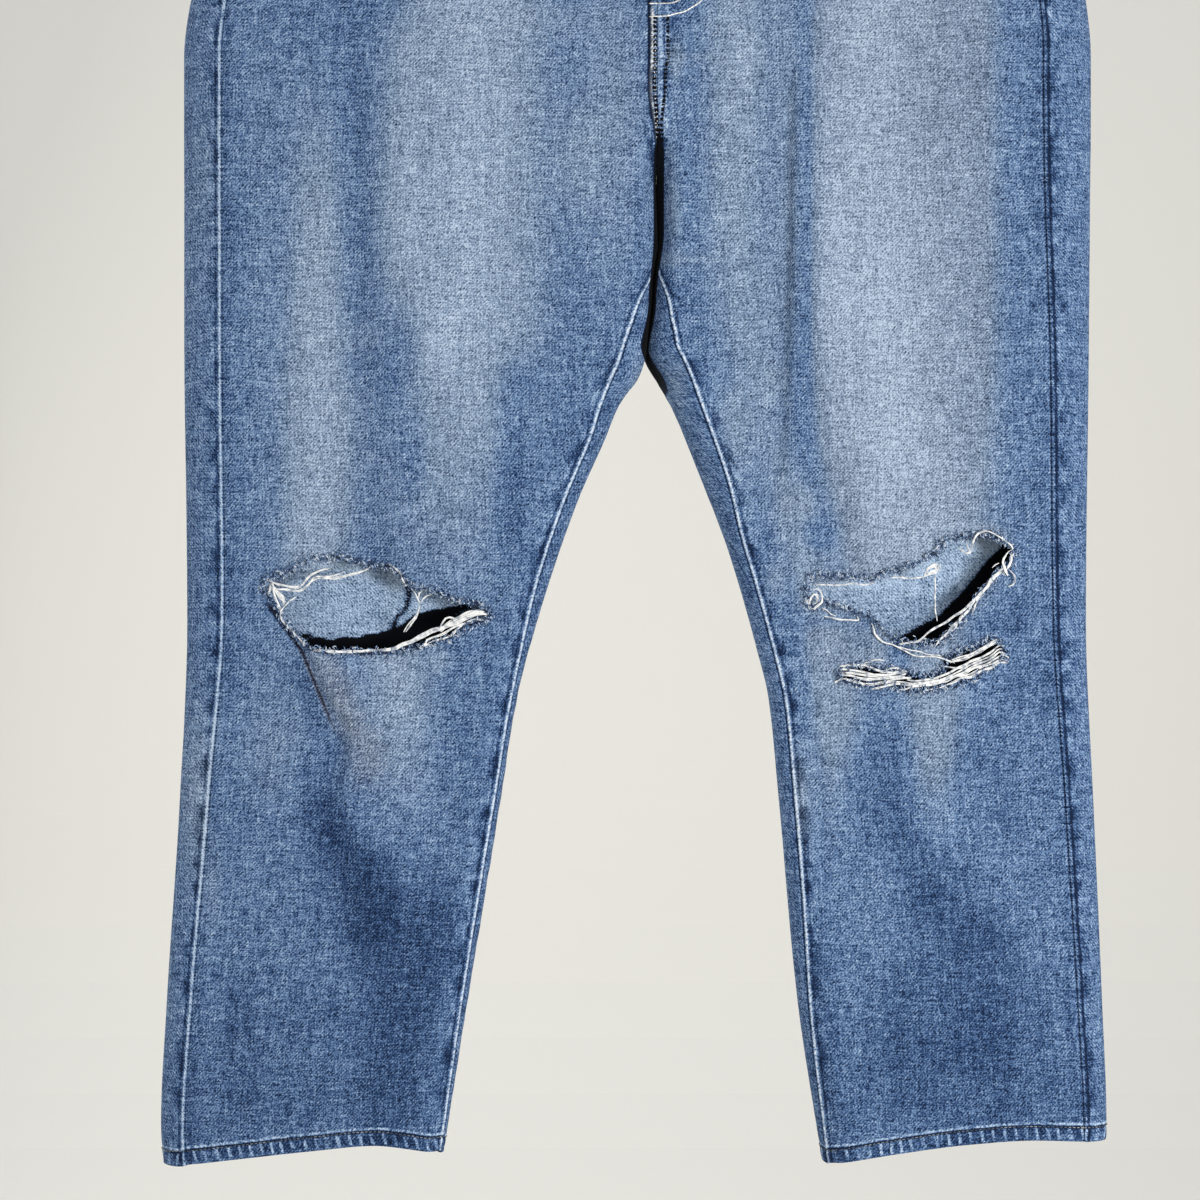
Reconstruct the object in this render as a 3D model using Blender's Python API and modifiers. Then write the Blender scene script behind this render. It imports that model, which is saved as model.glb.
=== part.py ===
"""Ripped straight-leg jeans, hanging by the waistband.

The garment hangs below the origin, which is the middle of the waistband's top edge: +Z is up,
the front faces -Y and the wearer's left is +X. Lengths are in millimetres until they become
vertices. "drop" is the height below the waistband's top edge, and "across" the distance from
the centre line towards the piece's own side, so one table serves either half.

Each half of the garment is one closely sampled outer skin: a flattened loop at every drop,
worked out from the tables. Above the crotch the loops run past the centre line, where both
halves are cut, so the rise seams follow from the shape. A piece is a patch of that skin with
an outer and an inner face.
"""
import bmesh
import bpy
import numpy as np
from math import cos, pi, radians, sin
from mathutils import Vector

MM = 0.001
GAP = 0.3              # between two pieces that are sewn together
CLOTH = 1.4            # one layer of denim
HEM_WALL = 2.8         # denim turned up on itself
HEM_DEPTH = 12.0
BAND_DEPTH = 38.0      # waistband
BAND_WALL = 3.0
BAND_PROUD = 0.6       # how far the band stands out from the panels
PANEL_TOP = 38.6       # where the panels start, clear of the band
FRONT_DIP = 12.0       # the band's front hangs this much below its back
DIP_END = 200.0        # drop where that dip has faded out
CROTCH = 300.0         # drop of the point where the four leg seams meet
LENGTH = 974.0         # the skins are sampled to here, just past the longest hem
ROW_STEP = 2.0
LOOP_SAMPLES = 400

LAYER = CLOTH + GAP    # depth of the first layer under a panel
CUTTER_REACH = 60.0    # how far a cutter runs to either side of the middle of the depth

# How deep the flattened tube is, shared by both halves.
# front, back: the walls' distance from the middle of the depth
# roll_out, roll_in: how much of the width turns round at the outer and the inner edge
DEPTH_COLUMNS = ("drop", "front", "back", "roll_out", "roll_in")
DEPTHS = (
    (0, 12, 12, 26, 20),
    (38, 14, 14, 30, 20),
    (108, 19, 21, 38, 22),
    (176, 22, 25, 42, 24),
    (260, 22, 24, 42, 18),
    (300, 21, 22, 40, 15),
    (380, 18, 18, 38, 16),
    (450, 16, 15, 36, 22),
    (590, 12, 12, 30, 22),
    (720, 12, 12, 28, 22),
    (860, 14, 14, 28, 22),
    (974, 15, 15, 28, 22),
)

# Side edges (drop, across) and how far each seam lies in from its edge, on the front (drop, inset).
RIGHT_LEG = {
    "outer": ((0, 231), (38, 236), (70, 259), (105, 284), (140, 306), (176, 321), (212, 325),
              (400, 325), (600, 323), (720, 328), (860, 337), (944, 341), (974, 339)),
    "inner": ((0, -60), (200, -60), (240, -28), (256, -13), (266, -7), (276, -3.6), (288, -1.3),
              (300, 0.15), (320, -0.6), (340, -0.9), (360, 1.2), (380, 2.6), (400, 4.8), (410, 6.2),
              (418, 7.6), (431, 12), (449, 25), (475, 36), (516, 54), (584, 77.5), (652, 96),
              (720, 107), (788, 118), (860, 130), (974, 148)),
    "outseam": ((0, 24), (176, 30), (590, 28), (720, 23), (974, 19)),
    "inseam": ((0, 0), (362, 0), (382, 6), (413, 14), (431, 16), (449, 11), (475, 9), (564, 7.5),
               (652, 3), (774, 3.5), (974, 1.5)),
    "hem": ((0, 963), (0.1, 964), (0.3, 956), (0.5, 959), (1, 967), (1.5, 964), (2, 963)),
}
LEFT_LEG = {
    "outer": ((0, 227), (38, 232), (70, 251), (105, 270), (140, 286), (176, 296), (212, 299),
              (400, 298), (600, 296), (720, 301), (860, 307), (944, 310), (974, 308)),
    "inner": ((0, -60), (200, -60), (240, -28), (256, -13), (266, -7), (276, -3.6), (288, -1.3),
              (300, 0.15), (320, 1.4), (340, 1.7), (360, -0.4), (380, -1.8), (400, -4), (410, -5.2),
              (418, -2.8), (438, 6), (464, 16.3), (495, 28.6), (550, 49.6), (618, 69.4),
              (652, 77.5), (720, 84.4), (856, 97), (974, 115)),
    "outseam": ((0, 28), (108, 33), (176, 36), (312, 31), (600, 25), (720, 22), (974, 18)),
    "inseam": ((0, 0), (362, 0), (389, 11.5), (408, 20), (424, 21.5), (442, 19.5), (495, 17),
               (550, 10.5), (784, 9), (875, 6), (974, 2.5)),
    "hem": ((0, 970), (0.3, 961), (0.55, 955), (0.8, 952), (1, 953), (1.5, 960), (2, 970)),
}

# Lengthwise folds: a crest that eases down over reach_in towards the centre line and reach_out
# towards the garment's side. Negative rise is a trough.
FOLD_COLUMNS = ("drop", "across", "rise", "reach_in", "reach_out")
RIGHT_FRONT_FOLDS = (
    ((190, 183, 0, 130, 28), (250, 181, 4.5, 130, 28), (400, 180, 6, 130, 30),
     (500, 172, 5, 120, 32), (560, 164, 4, 110, 34), (610, 160, 0, 100, 34)),
    ((600, 246, 0, 40, 12), (618, 232, 4.5, 50, 11), (645, 220, 5.5, 60, 12),
     (678, 203, 5, 60, 14), (714, 207, 4, 60, 20), (785, 192, 2.5, 60, 26), (835, 184, 0, 60, 30)),
)
LEFT_FRONT_FOLDS = (
    ((205, 97, 0, 8, 90), (250, 95, 4.5, 7, 100), (340, 94, 6, 7, 110), (430, 93, 5.5, 8, 110),
     (500, 93, 4, 14, 100), (560, 95, 2.5, 24, 90), (610, 98, 0, 26, 80)),
)
RIGHT_BACK_FOLDS = (
    ((300, 90, 0, 40, 60), (380, 110, 4, 36, 60), (470, 140, 5, 34, 60), (560, 165, 0, 40, 60)),
    ((640, 215, 0, 50, 30), (720, 222, 4, 50, 28), (820, 230, 3, 50, 30), (900, 236, 0, 50, 30)),
)
LEFT_BACK_FOLDS = (
    ((310, 80, 0, 40, 60), (400, 98, 5, 34, 60), (480, 128, 4, 36, 60), (550, 150, 0, 40, 60)),
    ((660, 190, 0, 50, 34), (740, 196, 3.5, 48, 30), (850, 200, 4, 50, 30), (920, 205, 0, 50, 30)),
)

# Soft swells and hollows (drop, across, rise, half width, half height), such as the lip of cloth
# that stands off below a knee rip.
RIGHT_FRONT_SWELLS = ((628, 205, 5, 80, 46), (540, 205, -2, 70, 30), (880, 240, 2.5, 90, 60))
LEFT_FRONT_SWELLS = ((640, 175, 5, 80, 44), (545, 170, -2, 70, 30), (870, 200, 2.5, 90, 60))
RIGHT_BACK_SWELLS = ((575, 200, -3, 110, 16), (608, 210, -3, 100, 15), (250, 170, 5, 120, 110))
LEFT_BACK_SWELLS = ((570, 185, -3, 100, 16), (602, 175, -3, 110, 15), (250, 150, 5, 120, 110))

# Rips (across, upper edge, lower edge), measured from the rip's centre (across, drop).
RIPS = {
    "right_knee": {"side": -1, "centre": (194, 587.5), "rows": (
        (-77, 4, 7), (-60, -3, 18), (-43, -9, 25), (-20, -20, 31), (0, -27, 33), (25, -32, 33),
        (45, -30, 29), (60, -23, 9), (72, -14, -11))},
    "left_knee": {"side": 1, "centre": (172, 577.5), "rows": (
        (-70, -3, 2), (-64, -9, 10), (-40, -9, 13), (-25, -8, 19), (-15, -13, 27), (-3, -15, 34),
        (9, -20, 36), (19, -26, 35), (28, -33, 28), (39, -37, 17), (51, -37, 0), (62, -34, -13),
        (70, -27, -21))},
    "left_shin": {"side": 1, "centre": (180, 633), "rows": (
        (-57, 0, 3), (-38, -6, 9), (-18, -3, 12), (2, 4, 13), (19, -2, 11), (36, -11, 4),
        (53, -20, -8), (61, -19, -16))},
}

YOKE_AT_SIDE = 80.0    # drop of the yoke seam at the outseam
YOKE_AT_CENTRE = 114.0
LEVEL_ROW = 140.0      # the rows above this one lean with the yoke seam on the back

# Drops of the cross rows at the outseam, closest where the skin turns under at the crotch.
YOKE_ROWS = (PANEL_TOP, 60, YOKE_AT_SIDE - GAP / 2)
FRONT_TOP_ROWS = (PANEL_TOP, 60, YOKE_AT_SIDE, 108)
BACK_TOP_ROWS = (YOKE_AT_SIDE + GAP / 2, 108)
PANEL_ROWS = (LEVEL_ROW, 175, 205, 232, 250, 262, 272, 281, 289, 295, 300, 320, 345, 370, 392, 410, 424,
              437, 452, 475, 510, 545, 575, 600, 625, 655, 690, 730, 775, 820, 865, 905, 930)
# Shares of a panel's width where its lengthwise lines run, closest round the rolled edges.
FRONT_LINES = (0, 0.05, 0.12, 0.25, 0.38, 0.5, 0.62, 0.75, 0.86, 0.94, 1)
BACK_LINES = (0, 0.04, 0.08, 0.13, 0.22, 0.36, 0.5, 0.65, 0.8, 0.87, 0.92, 0.96, 1)

# Outlines (across, drop) on the walls.
SCOOP = {"start": 112, "end": 300, "centre": 262, "depth": 74, "top": 18, "steps": 10}
FACING = ((88, 20), (90, 68), (118, 110), (180, 136), (300, 146), (300, 20))
FACING_END = 175.0
BACK_POCKET = {"centre": 120, "half_width": 75, "taper": 6, "top": 138, "side": 132, "point": 20}
BACK_POCKET_END = 300.0
POCKET_WALL = 1.3
BELT_LOOP = {"half_width": 5.5, "wall": 1.8, "front": 95, "back": 125}
BELT_LOOP_ROWS = ((1, 0.95), (6, 1.0), (12, 2.2), (20, 2.8), (28, 2.2), (34, 1.0), (40, 0.95),
                  (43, 0.4), (47, 0.3))
# Where the waistband's strips start and end across the front; the under end is tucked behind the
# button end, and the strips round the sides start clear of the roll.
UNDERLAP = {"reach": 38, "begin": 36, "tucked": 6}
BAND_RIGHT = (62, 170)
BAND_SIDE = 190.0
BAND_LEFT = (165, -3)
BAND_ROWS = (0, 5, 19, BAND_DEPTH)
BAND_SIDE_LINES = 15
BAND_LEFT_LINES = 9
FLY_TOP = 40.3
ZIP = {"half_width": 13, "wall": 1.1, "end": 172}
SHIELD = {"from": -12, "to": 34, "end": 180}
BUTTON = {"across": 13, "drop": 19, "radius": 8.5}

DENIM = {"colour": (0.25, 0.38, 0.58), "roughness": 0.9, "metallic": 0.0}
DENIM_DARK = {"colour": (0.17, 0.28, 0.47), "roughness": 0.9, "metallic": 0.0}
BRASS = {"colour": (0.46, 0.34, 0.2), "roughness": 0.35, "metallic": 1.0}


def smooth_table(rows, wanted):
    """Smooth curve through (key, value) rows, without overshoot between them."""
    keys, values = (np.array(column, dtype=float) for column in zip(*rows))
    wanted = np.clip(np.asarray(wanted, dtype=float), keys[0], keys[-1])
    step = np.diff(keys)
    slope = np.diff(values) / step
    tangent = np.zeros_like(keys)
    tangent[0], tangent[-1] = slope[0], slope[-1]
    same_way = slope[:-1] * slope[1:] > 0
    product = np.where(same_way, slope[:-1] * slope[1:], 0.0)
    total = np.where(same_way, slope[:-1] + slope[1:], 1.0)
    tangent[1:-1] = 2 * product / total
    k = np.clip(np.searchsorted(keys, wanted, side="right") - 1, 0, len(step) - 1)
    t = (wanted - keys[k]) / step[k]
    return (values[k] * (1 + 2 * t) * (1 - t) ** 2 + step[k] * tangent[k] * t * (1 - t) ** 2
            + values[k + 1] * t ** 2 * (3 - 2 * t) + step[k] * tangent[k + 1] * t ** 2 * (t - 1))


def read_columns(rows, names, wanted):
    """Every named column of a table after its first, read at the wanted keys."""
    return {name: smooth_table([(row[0], row[i]) for row in rows], wanted)
            for i, name in enumerate(names) if i}


def ease(t):
    t = np.clip(t, 0, 1)
    return t * t * (3 - 2 * t)


def crest(distance, reach):
    """1 at the crest, easing to 0 at the end of its reach."""
    return 0.5 + 0.5 * np.cos(pi * np.clip(np.abs(distance) / reach, 0, 1))


def roll(distance, length):
    """Quarter ellipse: 0 at the edge, 1 where the wall is flat."""
    return np.sqrt(np.clip(1 - (1 - np.clip(distance / length, 0, 1)) ** 2, 0, 1))


def relief(across, drops, folds, swells):
    """How far folds and swells lift the wall, for rows of drops and columns of across."""
    lift = np.zeros_like(across)
    for rows in folds:
        fold = read_columns(rows, FOLD_COLUMNS, drops[:, 0])
        beyond = across - fold["across"][:, None]
        reach = np.where(beyond > 0, fold["reach_out"][:, None], fold["reach_in"][:, None])
        lift += fold["rise"][:, None] * crest(beyond, reach)
    for drop, middle, rise, half_width, half_height in swells:
        lift += rise * crest(across - middle, half_width) * crest(drops - drop, half_height)
    return lift


class Skin:
    """Outer surface of one half. side is -1 for the wearer's right and +1 for the left."""

    def __init__(self, side, leg, front, back):
        self.side = side
        self.drops = np.arange(0, LENGTH + ROW_STEP / 2, ROW_STEP)
        size = read_columns(DEPTHS, DEPTH_COLUMNS, self.drops)
        edge = {name: smooth_table(leg[name], self.drops)
                for name in ("outer", "inner", "outseam", "inseam")}
        self.hem_rows = leg["hem"]

        turn = (1 - np.cos(np.linspace(0, pi, 300))) / 2
        width = (edge["outer"] - edge["inner"])[:, None]
        across = edge["inner"][:, None] + width * turn
        drops = np.repeat(self.drops[:, None], len(turn), axis=1)
        flat = (roll(across - edge["inner"][:, None], size["roll_in"][:, None])
                * roll(edge["outer"][:, None] - across, size["roll_out"][:, None]))
        front_y = -(size["front"][:, None] + relief(across, drops, *front)) * flat
        back_y = (size["back"][:, None] + relief(across, drops, *back)) * flat
        dip = (FRONT_DIP * (1 - (across / edge["outer"][:, None]) ** 2)
               * ease((DIP_END - drops) / (DIP_END - BAND_DEPTH)))
        walls = [np.stack([across, front_y, -drops - dip], axis=2),
                 np.stack([across, back_y, -drops], axis=2)[:, ::-1]]
        loop = np.concatenate([walls[0], walls[1][:, 1:]], axis=1)
        steps = np.linalg.norm(np.diff(loop[:, :, :2], axis=1), axis=2)
        run = np.concatenate([np.zeros((len(loop), 1)), np.cumsum(steps, axis=1)], axis=1)
        self.girth = run[:, -1]

        share = np.linspace(0, 1, LOOP_SAMPLES + 1)
        self.points = np.array([[np.interp(share * total, along, row[:, axis]) for axis in range(3)]
                                for total, along, row in zip(self.girth, run, loop)])
        self.points = self.points.transpose(0, 2, 1)
        down = np.gradient(self.points, axis=0)
        ring = self.points[:, :-1]
        onward = np.roll(ring, -1, axis=1) - np.roll(ring, 1, axis=1)
        onward = np.concatenate([onward, onward[:, :1]], axis=1)
        normals = np.cross(onward, down)
        self.normals = normals / np.linalg.norm(normals, axis=2, keepdims=True)
        if self.normals[10, LOOP_SAMPLES // 5, 1] > 0:
            self.normals = -self.normals

        middle = len(turn)
        self.front_run, self.front_across = run[:, :middle], loop[:, :middle, 0]
        self.back_run, self.back_across = run[:, middle - 1:], loop[:, middle - 1:, 0]
        above = self.drops <= CROTCH
        inseam = np.where(above, GAP / 2, edge["inner"] + edge["inseam"])
        self.outseam = self.along_front(edge["outer"] - edge["outseam"])
        self.front_start = self.along_front(inseam)
        self.back_end = np.where(above, self.along_back(inseam), self.girth + self.front_start)

    def along_front(self, across):
        """Distance round the loop, row by row, of a place on the front wall."""
        return np.array([np.interp(*row) for row in zip(across, self.front_across, self.front_run)])

    def along_back(self, across):
        return np.array([np.interp(a, x[::-1], run[::-1])
                         for a, x, run in zip(across, self.back_across, self.back_run)])

    def seam(self, rows, drop):
        return np.interp(drop, self.drops, rows)

    def hem(self, u):
        """Drop of the hem: u is 0 at the inseam, 1 at the outseam and 2 at the inseam again."""
        return smooth_table(self.hem_rows, u)

    def look_up(self, grid, row, run):
        column = (run / self.girth[row]) % 1.0 * LOOP_SAMPLES
        k = np.minimum(column.astype(int), LOOP_SAMPLES - 1)
        t = (column - k)[..., None]
        return grid[row, k] * (1 - t) + grid[row, k + 1] * t

    def at(self, drop, run, out=0.0):
        """Points at a drop and a distance round the loop, moved out along the skin's normals."""
        drop, run, out = np.broadcast_arrays(*(np.asarray(v, dtype=float) for v in (drop, run, out)))
        row = np.clip(drop, 0, self.drops[-1]) / ROW_STEP
        low = np.minimum(row.astype(int), len(self.drops) - 2)
        t = (row - low)[..., None]
        points, normals = (self.look_up(grid, low, run) * (1 - t)
                           + self.look_up(grid, low + 1, run) * t
                           for grid in (self.points, self.normals))
        points = points + normals * out[..., None] / np.linalg.norm(normals, axis=-1, keepdims=True)
        limit = np.where(drop <= CROTCH, GAP / 2, -np.inf)
        inside = (run > self.seam(self.front_start, drop) - 1) & (run < self.seam(self.back_end, drop) + 1)
        points[..., 0] = np.where(inside, np.maximum(points[..., 0], limit), points[..., 0])
        return points * (self.side, 1, 1)

    def on_wall(self, wall, drop, across, out=0.0):
        """Points by their place across the front or the back wall."""
        drop, across = np.broadcast_arrays(np.asarray(drop, dtype=float), across)
        rows = np.clip(np.rint(drop / ROW_STEP).astype(int), 0, len(self.drops) - 1)
        if wall == "front":
            run = [np.interp(a, self.front_across[r], self.front_run[r])
                   for a, r in zip(across.flat, rows.flat)]
        else:
            run = [np.interp(a, self.back_across[r][::-1], self.back_run[r][::-1])
                   for a, r in zip(across.flat, rows.flat)]
        return self.at(drop, np.array(run).reshape(drop.shape), out)


def make_material(name, look):
    material = bpy.data.materials.new(name)
    material.use_nodes = True
    shader = material.node_tree.nodes["Principled BSDF"]
    shader.inputs["Base Color"].default_value = (*look["colour"], 1)
    shader.inputs["Roughness"].default_value = look["roughness"]
    shader.inputs["Metallic"].default_value = look["metallic"]
    return material


def add_object(name, mesh, material, collection):
    piece = bpy.data.objects.new(name, mesh)
    if material:
        mesh.materials.append(material)
    collection.objects.link(piece)
    return piece


def make_wall(name, outer, inner, material, collection):
    """Closed sheet of cloth between two equal grids of points, in millimetres."""
    rows, columns = outer.shape[:2]
    build = bmesh.new()
    face_out, face_in = ([[build.verts.new(point * MM) for point in row] for row in grid]
                         for grid in (outer, inner))
    for i in range(rows - 1):
        for j in range(columns - 1):
            for grid in (face_out, face_in):
                build.faces.new((grid[i][j], grid[i][j + 1], grid[i + 1][j + 1]))
                build.faces.new((grid[i][j], grid[i + 1][j + 1], grid[i + 1][j]))
    border = ([(0, j) for j in range(columns)] + [(i, columns - 1) for i in range(1, rows)]
              + [(rows - 1, j) for j in reversed(range(columns - 1))]
              + [(i, 0) for i in reversed(range(1, rows - 1))])
    for (i, j), (k, l) in zip(border, border[1:] + border[:1]):
        build.faces.new((face_out[i][j], face_out[k][l], face_in[k][l], face_in[i][j]))
    bmesh.ops.recalc_face_normals(build, faces=build.faces)
    mesh = bpy.data.meshes.new(name)
    build.to_mesh(mesh)
    build.free()
    mesh.shade_smooth()
    mesh.set_sharp_from_angle(angle=radians(50))
    return add_object(name, mesh, material, collection)


def seam_gap(drop):
    """Half the gap beside a leg seam, opening just above the crotch."""
    return GAP / 2 * ease((drop - (CROTCH - 20)) / 20)


def yoke_seam(u):
    """Drop of the yoke seam: u is 0 at the outseam and 1 at the centre back."""
    return YOKE_AT_SIDE + (YOKE_AT_CENTRE - YOKE_AT_SIDE) * u


def panel_rows(top_rows, hem):
    """Drops (rows x columns) and walls (per row) of a panel that ends in a turned-up hem."""
    level = [np.full(len(hem), row) for row in PANEL_ROWS]
    drop = np.array([*top_rows, *level, hem - HEM_DEPTH - 1, hem - HEM_DEPTH, hem])
    wall = np.array([CLOTH] * (len(drop) - 2) + [HEM_WALL] * 2)
    return drop, wall[:, None]


def front_grid(skin):
    """Drops, distances round the skin and wall thicknesses of the front panel's points."""
    u = np.array(FRONT_LINES)
    drop, wall = panel_rows([np.full(len(u), row) for row in FRONT_TOP_ROWS], skin.hem(u))
    start = skin.seam(skin.front_start, drop) + seam_gap(drop)
    end = skin.seam(skin.outseam, drop) - GAP / 2
    return drop, start + (end - start) * u, wall


def back_grid(skin):
    u = np.array(BACK_LINES)
    lean = (yoke_seam(u) - YOKE_AT_SIDE) / (LEVEL_ROW - YOKE_AT_SIDE)
    top_rows = [row + (LEVEL_ROW - row) * lean for row in BACK_TOP_ROWS]
    drop, wall = panel_rows(top_rows, skin.hem(1 + u))
    start = skin.seam(skin.outseam, drop) + GAP / 2
    end = skin.seam(skin.back_end, drop) - seam_gap(drop)
    return drop, start + (end - start) * u, wall


def panel(name, skin, grid, material, collection):
    drop, run, wall = grid
    return make_wall(name, skin.at(drop, run), skin.at(drop, run, -wall), material, collection)


def patch(name, skin, grid, last_drop, layer, wall, cutter, material, collection):
    """Piece that lies on a panel: the panel's own points moved to a layer, trimmed to an outline."""
    drop, run, _ = grid
    rows = slice(0, int(np.searchsorted(drop[:, -1], last_drop)) + 1)
    drop, run = drop[rows], run[rows]
    piece = make_wall(name, skin.at(drop, run, layer), skin.at(drop, run, layer - wall),
                      material, collection)
    cut(piece, cutter, "INTERSECT")
    return piece


def yoke_grid(skin):
    u = np.array(BACK_LINES)
    top = YOKE_ROWS[0]
    drop = np.array([top + (row - top) * (yoke_seam(u) - top) / (YOKE_AT_SIDE - top)
                     for row in YOKE_ROWS])
    start = skin.seam(skin.outseam, drop) + GAP / 2
    end = skin.seam(skin.back_end, drop)
    return drop, start + (end - start) * u, CLOTH


def waistband(skins, material, collection):
    """One strip right round: its under end is tucked behind the button end at the front."""
    drop = np.array(BAND_ROWS)[:, None]
    right, left = skins[-1], skins[1]
    across = np.concatenate([np.linspace(-UNDERLAP["reach"], UNDERLAP["begin"], 8),
                             np.linspace(*BAND_RIGHT, 4)])
    tuck = -(BAND_WALL + GAP) * ease((UNDERLAP["begin"] - across)
                                     / (UNDERLAP["begin"] - UNDERLAP["tucked"]))
    strips = []
    for depth in (0, -BAND_WALL):
        out = BAND_PROUD + depth
        parts = [right.on_wall("front", *np.broadcast_arrays(drop, across), out + tuck)]
        for skin in (right, left):
            start = skin.along_front(np.full(len(skin.drops), BAND_SIDE))
            run = np.linspace(skin.seam(start, drop), skin.seam(skin.back_end, drop),
                              BAND_SIDE_LINES)[:, :, 0].T
            part = skin.at(drop, run, out)
            parts.append(part if skin is right else part[:, ::-1])
        button_end = np.linspace(*BAND_LEFT, BAND_LEFT_LINES)
        parts.append(left.on_wall("front", *np.broadcast_arrays(drop, button_end), out))
        strip = np.concatenate(parts, axis=1)
        centre_back = len(across) + BAND_SIDE_LINES
        strips.append(np.delete(strip, centre_back, axis=1))
    return make_wall("waistband", *strips, material, collection)


def back_pocket_cutter(side, collection):
    """Five-sided patch pocket, a little narrower below, ending in a blunt point."""
    shape = BACK_POCKET
    middle, half = shape["centre"], shape["half_width"]
    foot = shape["top"] + shape["side"]
    outline = [(middle - half, shape["top"]), (middle + half, shape["top"]),
               (middle + half - shape["taper"], foot), (middle, foot + shape["point"]),
               (middle - half + shape["taper"], foot)]
    return flat_cutter("back pocket", side, outline, False, collection)


def across_centre(skins, wall, drop, x, out):
    """Points by x on either half: at the centre line the two skins are level."""
    drop, x, out = np.broadcast_arrays(drop, x, out)
    return np.where((x < 0)[..., None], skins[-1].on_wall(wall, drop, -x, out),
                    skins[1].on_wall(wall, drop, x, out))


def belt_loop(name, skins, wall, middle, material, collection):
    x = middle + BELT_LOOP["half_width"] * np.array([-1.0, 0.0, 1.0])
    drop, lift = (np.array(column)[:, None] for column in zip(*BELT_LOOP_ROWS))
    outer, inner = (across_centre(skins, wall, drop, x, lift + thick)
                    for thick in (BELT_LOOP["wall"], 0.0))
    return make_wall(name, outer, inner, material, collection)


def fly_strip(name, skins, reach, layer, wall, end, material, collection):
    """Flat strip behind the front rise, layer being the depth of its outer face."""
    drop = np.linspace(FLY_TOP, end, 7)[:, None]
    x = np.linspace(*reach, 5)
    outer, inner = (across_centre(skins, "front", drop, x, -depth) for depth in (layer, layer + wall))
    return make_wall(name, outer, inner, material, collection)


def scoop_cutter(side, collection):
    """Outline of a front pocket's opening: a quarter ellipse from the band to the outseam."""
    s = SCOOP
    arc = [(s["centre"] - (s["centre"] - s["start"]) * cos(t), BAND_DEPTH + s["depth"] * sin(t))
           for t in np.linspace(0, pi / 2, s["steps"])]
    top = s["top"]
    outline = [(s["start"], top)] + arc + [(s["end"], arc[-1][1]), (s["end"], top)]
    return flat_cutter("pocket scoop", side, outline, False, collection)


def rip_cutter(name, rip, collection):
    """Outline of a rip: along its upper edge, then back along the lower one."""
    across, drop = rip["centre"]
    upper = [(across + a, drop + up) for a, up, _ in rip["rows"]]
    lower = [(across + a, drop + low) for a, _, low in reversed(rip["rows"])]
    return flat_cutter(name, rip["side"], upper + lower, True, collection)


def flat_cutter(name, side, outline, rounded, collection):
    """Solid cutter through the front wall, from an outline of (across, drop)."""
    curve = bpy.data.curves.new(name, "CURVE")
    curve.dimensions = "2D"
    curve.fill_mode = "BOTH"
    curve.extrude = CUTTER_REACH * MM
    curve.resolution_u = 2 if rounded else 1
    spline = curve.splines.new("BEZIER")
    spline.bezier_points.add(len(outline) - 1)
    spline.use_cyclic_u = True
    for knot, (across, drop) in zip(spline.bezier_points, outline):
        knot.co = (side * across * MM, -drop * MM, 0)
        knot.handle_left_type = knot.handle_right_type = "AUTO" if rounded else "VECTOR"
    flat = bpy.data.objects.new(name, curve)
    collection.objects.link(flat)
    flat.rotation_euler = (radians(90), 0, 0)
    bpy.context.view_layer.update()
    mesh = bpy.data.meshes.new_from_object(flat.evaluated_get(bpy.context.evaluated_depsgraph_get()))
    build = bmesh.new()
    build.from_mesh(mesh)
    bmesh.ops.remove_doubles(build, verts=build.verts, dist=1e-6)
    bmesh.ops.recalc_face_normals(build, faces=build.faces)
    build.to_mesh(mesh)
    build.free()
    cutter = add_object(name + " cutter", mesh, None, collection)
    cutter.matrix_world = flat.matrix_world
    bpy.data.objects.remove(flat)
    cutter.hide_render = True
    cutter.display_type = "WIRE"
    return cutter


def cut(piece, cutter, operation="DIFFERENCE"):
    boolean = piece.modifiers.new(cutter.name, "BOOLEAN")
    boolean.operation = operation
    boolean.object = cutter


def waist_button(skins, material, collection):
    """Domed metal button, turned about its own axis, facing out of the band."""
    radius = BUTTON["radius"]
    profile = ((0, 3.6), (0.28, 3.7), (0.5, 3.2), (0.66, 3.3), (0.88, 3.0), (1.0, 2.0), (0.94, 0.8),
               (0.5, 0.3), (0, 0.3))
    build = bmesh.new()
    knots = [build.verts.new((share * radius * MM, 0, height * MM)) for share, height in profile]
    for a, b in zip(knots, knots[1:]):
        build.edges.new((a, b))
    mesh = bpy.data.meshes.new("button")
    build.to_mesh(mesh)
    build.free()
    button = add_object("button", mesh, material, collection)
    turned = button.modifiers.new("turned", "SCREW")
    turned.steps = turned.render_steps = 20
    turned.use_merge_vertices = True
    turned.merge_threshold = 0.00005
    seat, tip = (across_centre(skins, "front", BUTTON["drop"], BUTTON["across"], BAND_PROUD + out)
                 for out in (0, 1))
    button.location = Vector(seat) * MM
    button.rotation_euler = Vector(tip - seat).to_track_quat("Z", "Y").to_euler()
    return button


def new_collection(name):
    collection = bpy.data.collections.new(name)
    bpy.context.scene.collection.children.link(collection)
    return collection


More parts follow.
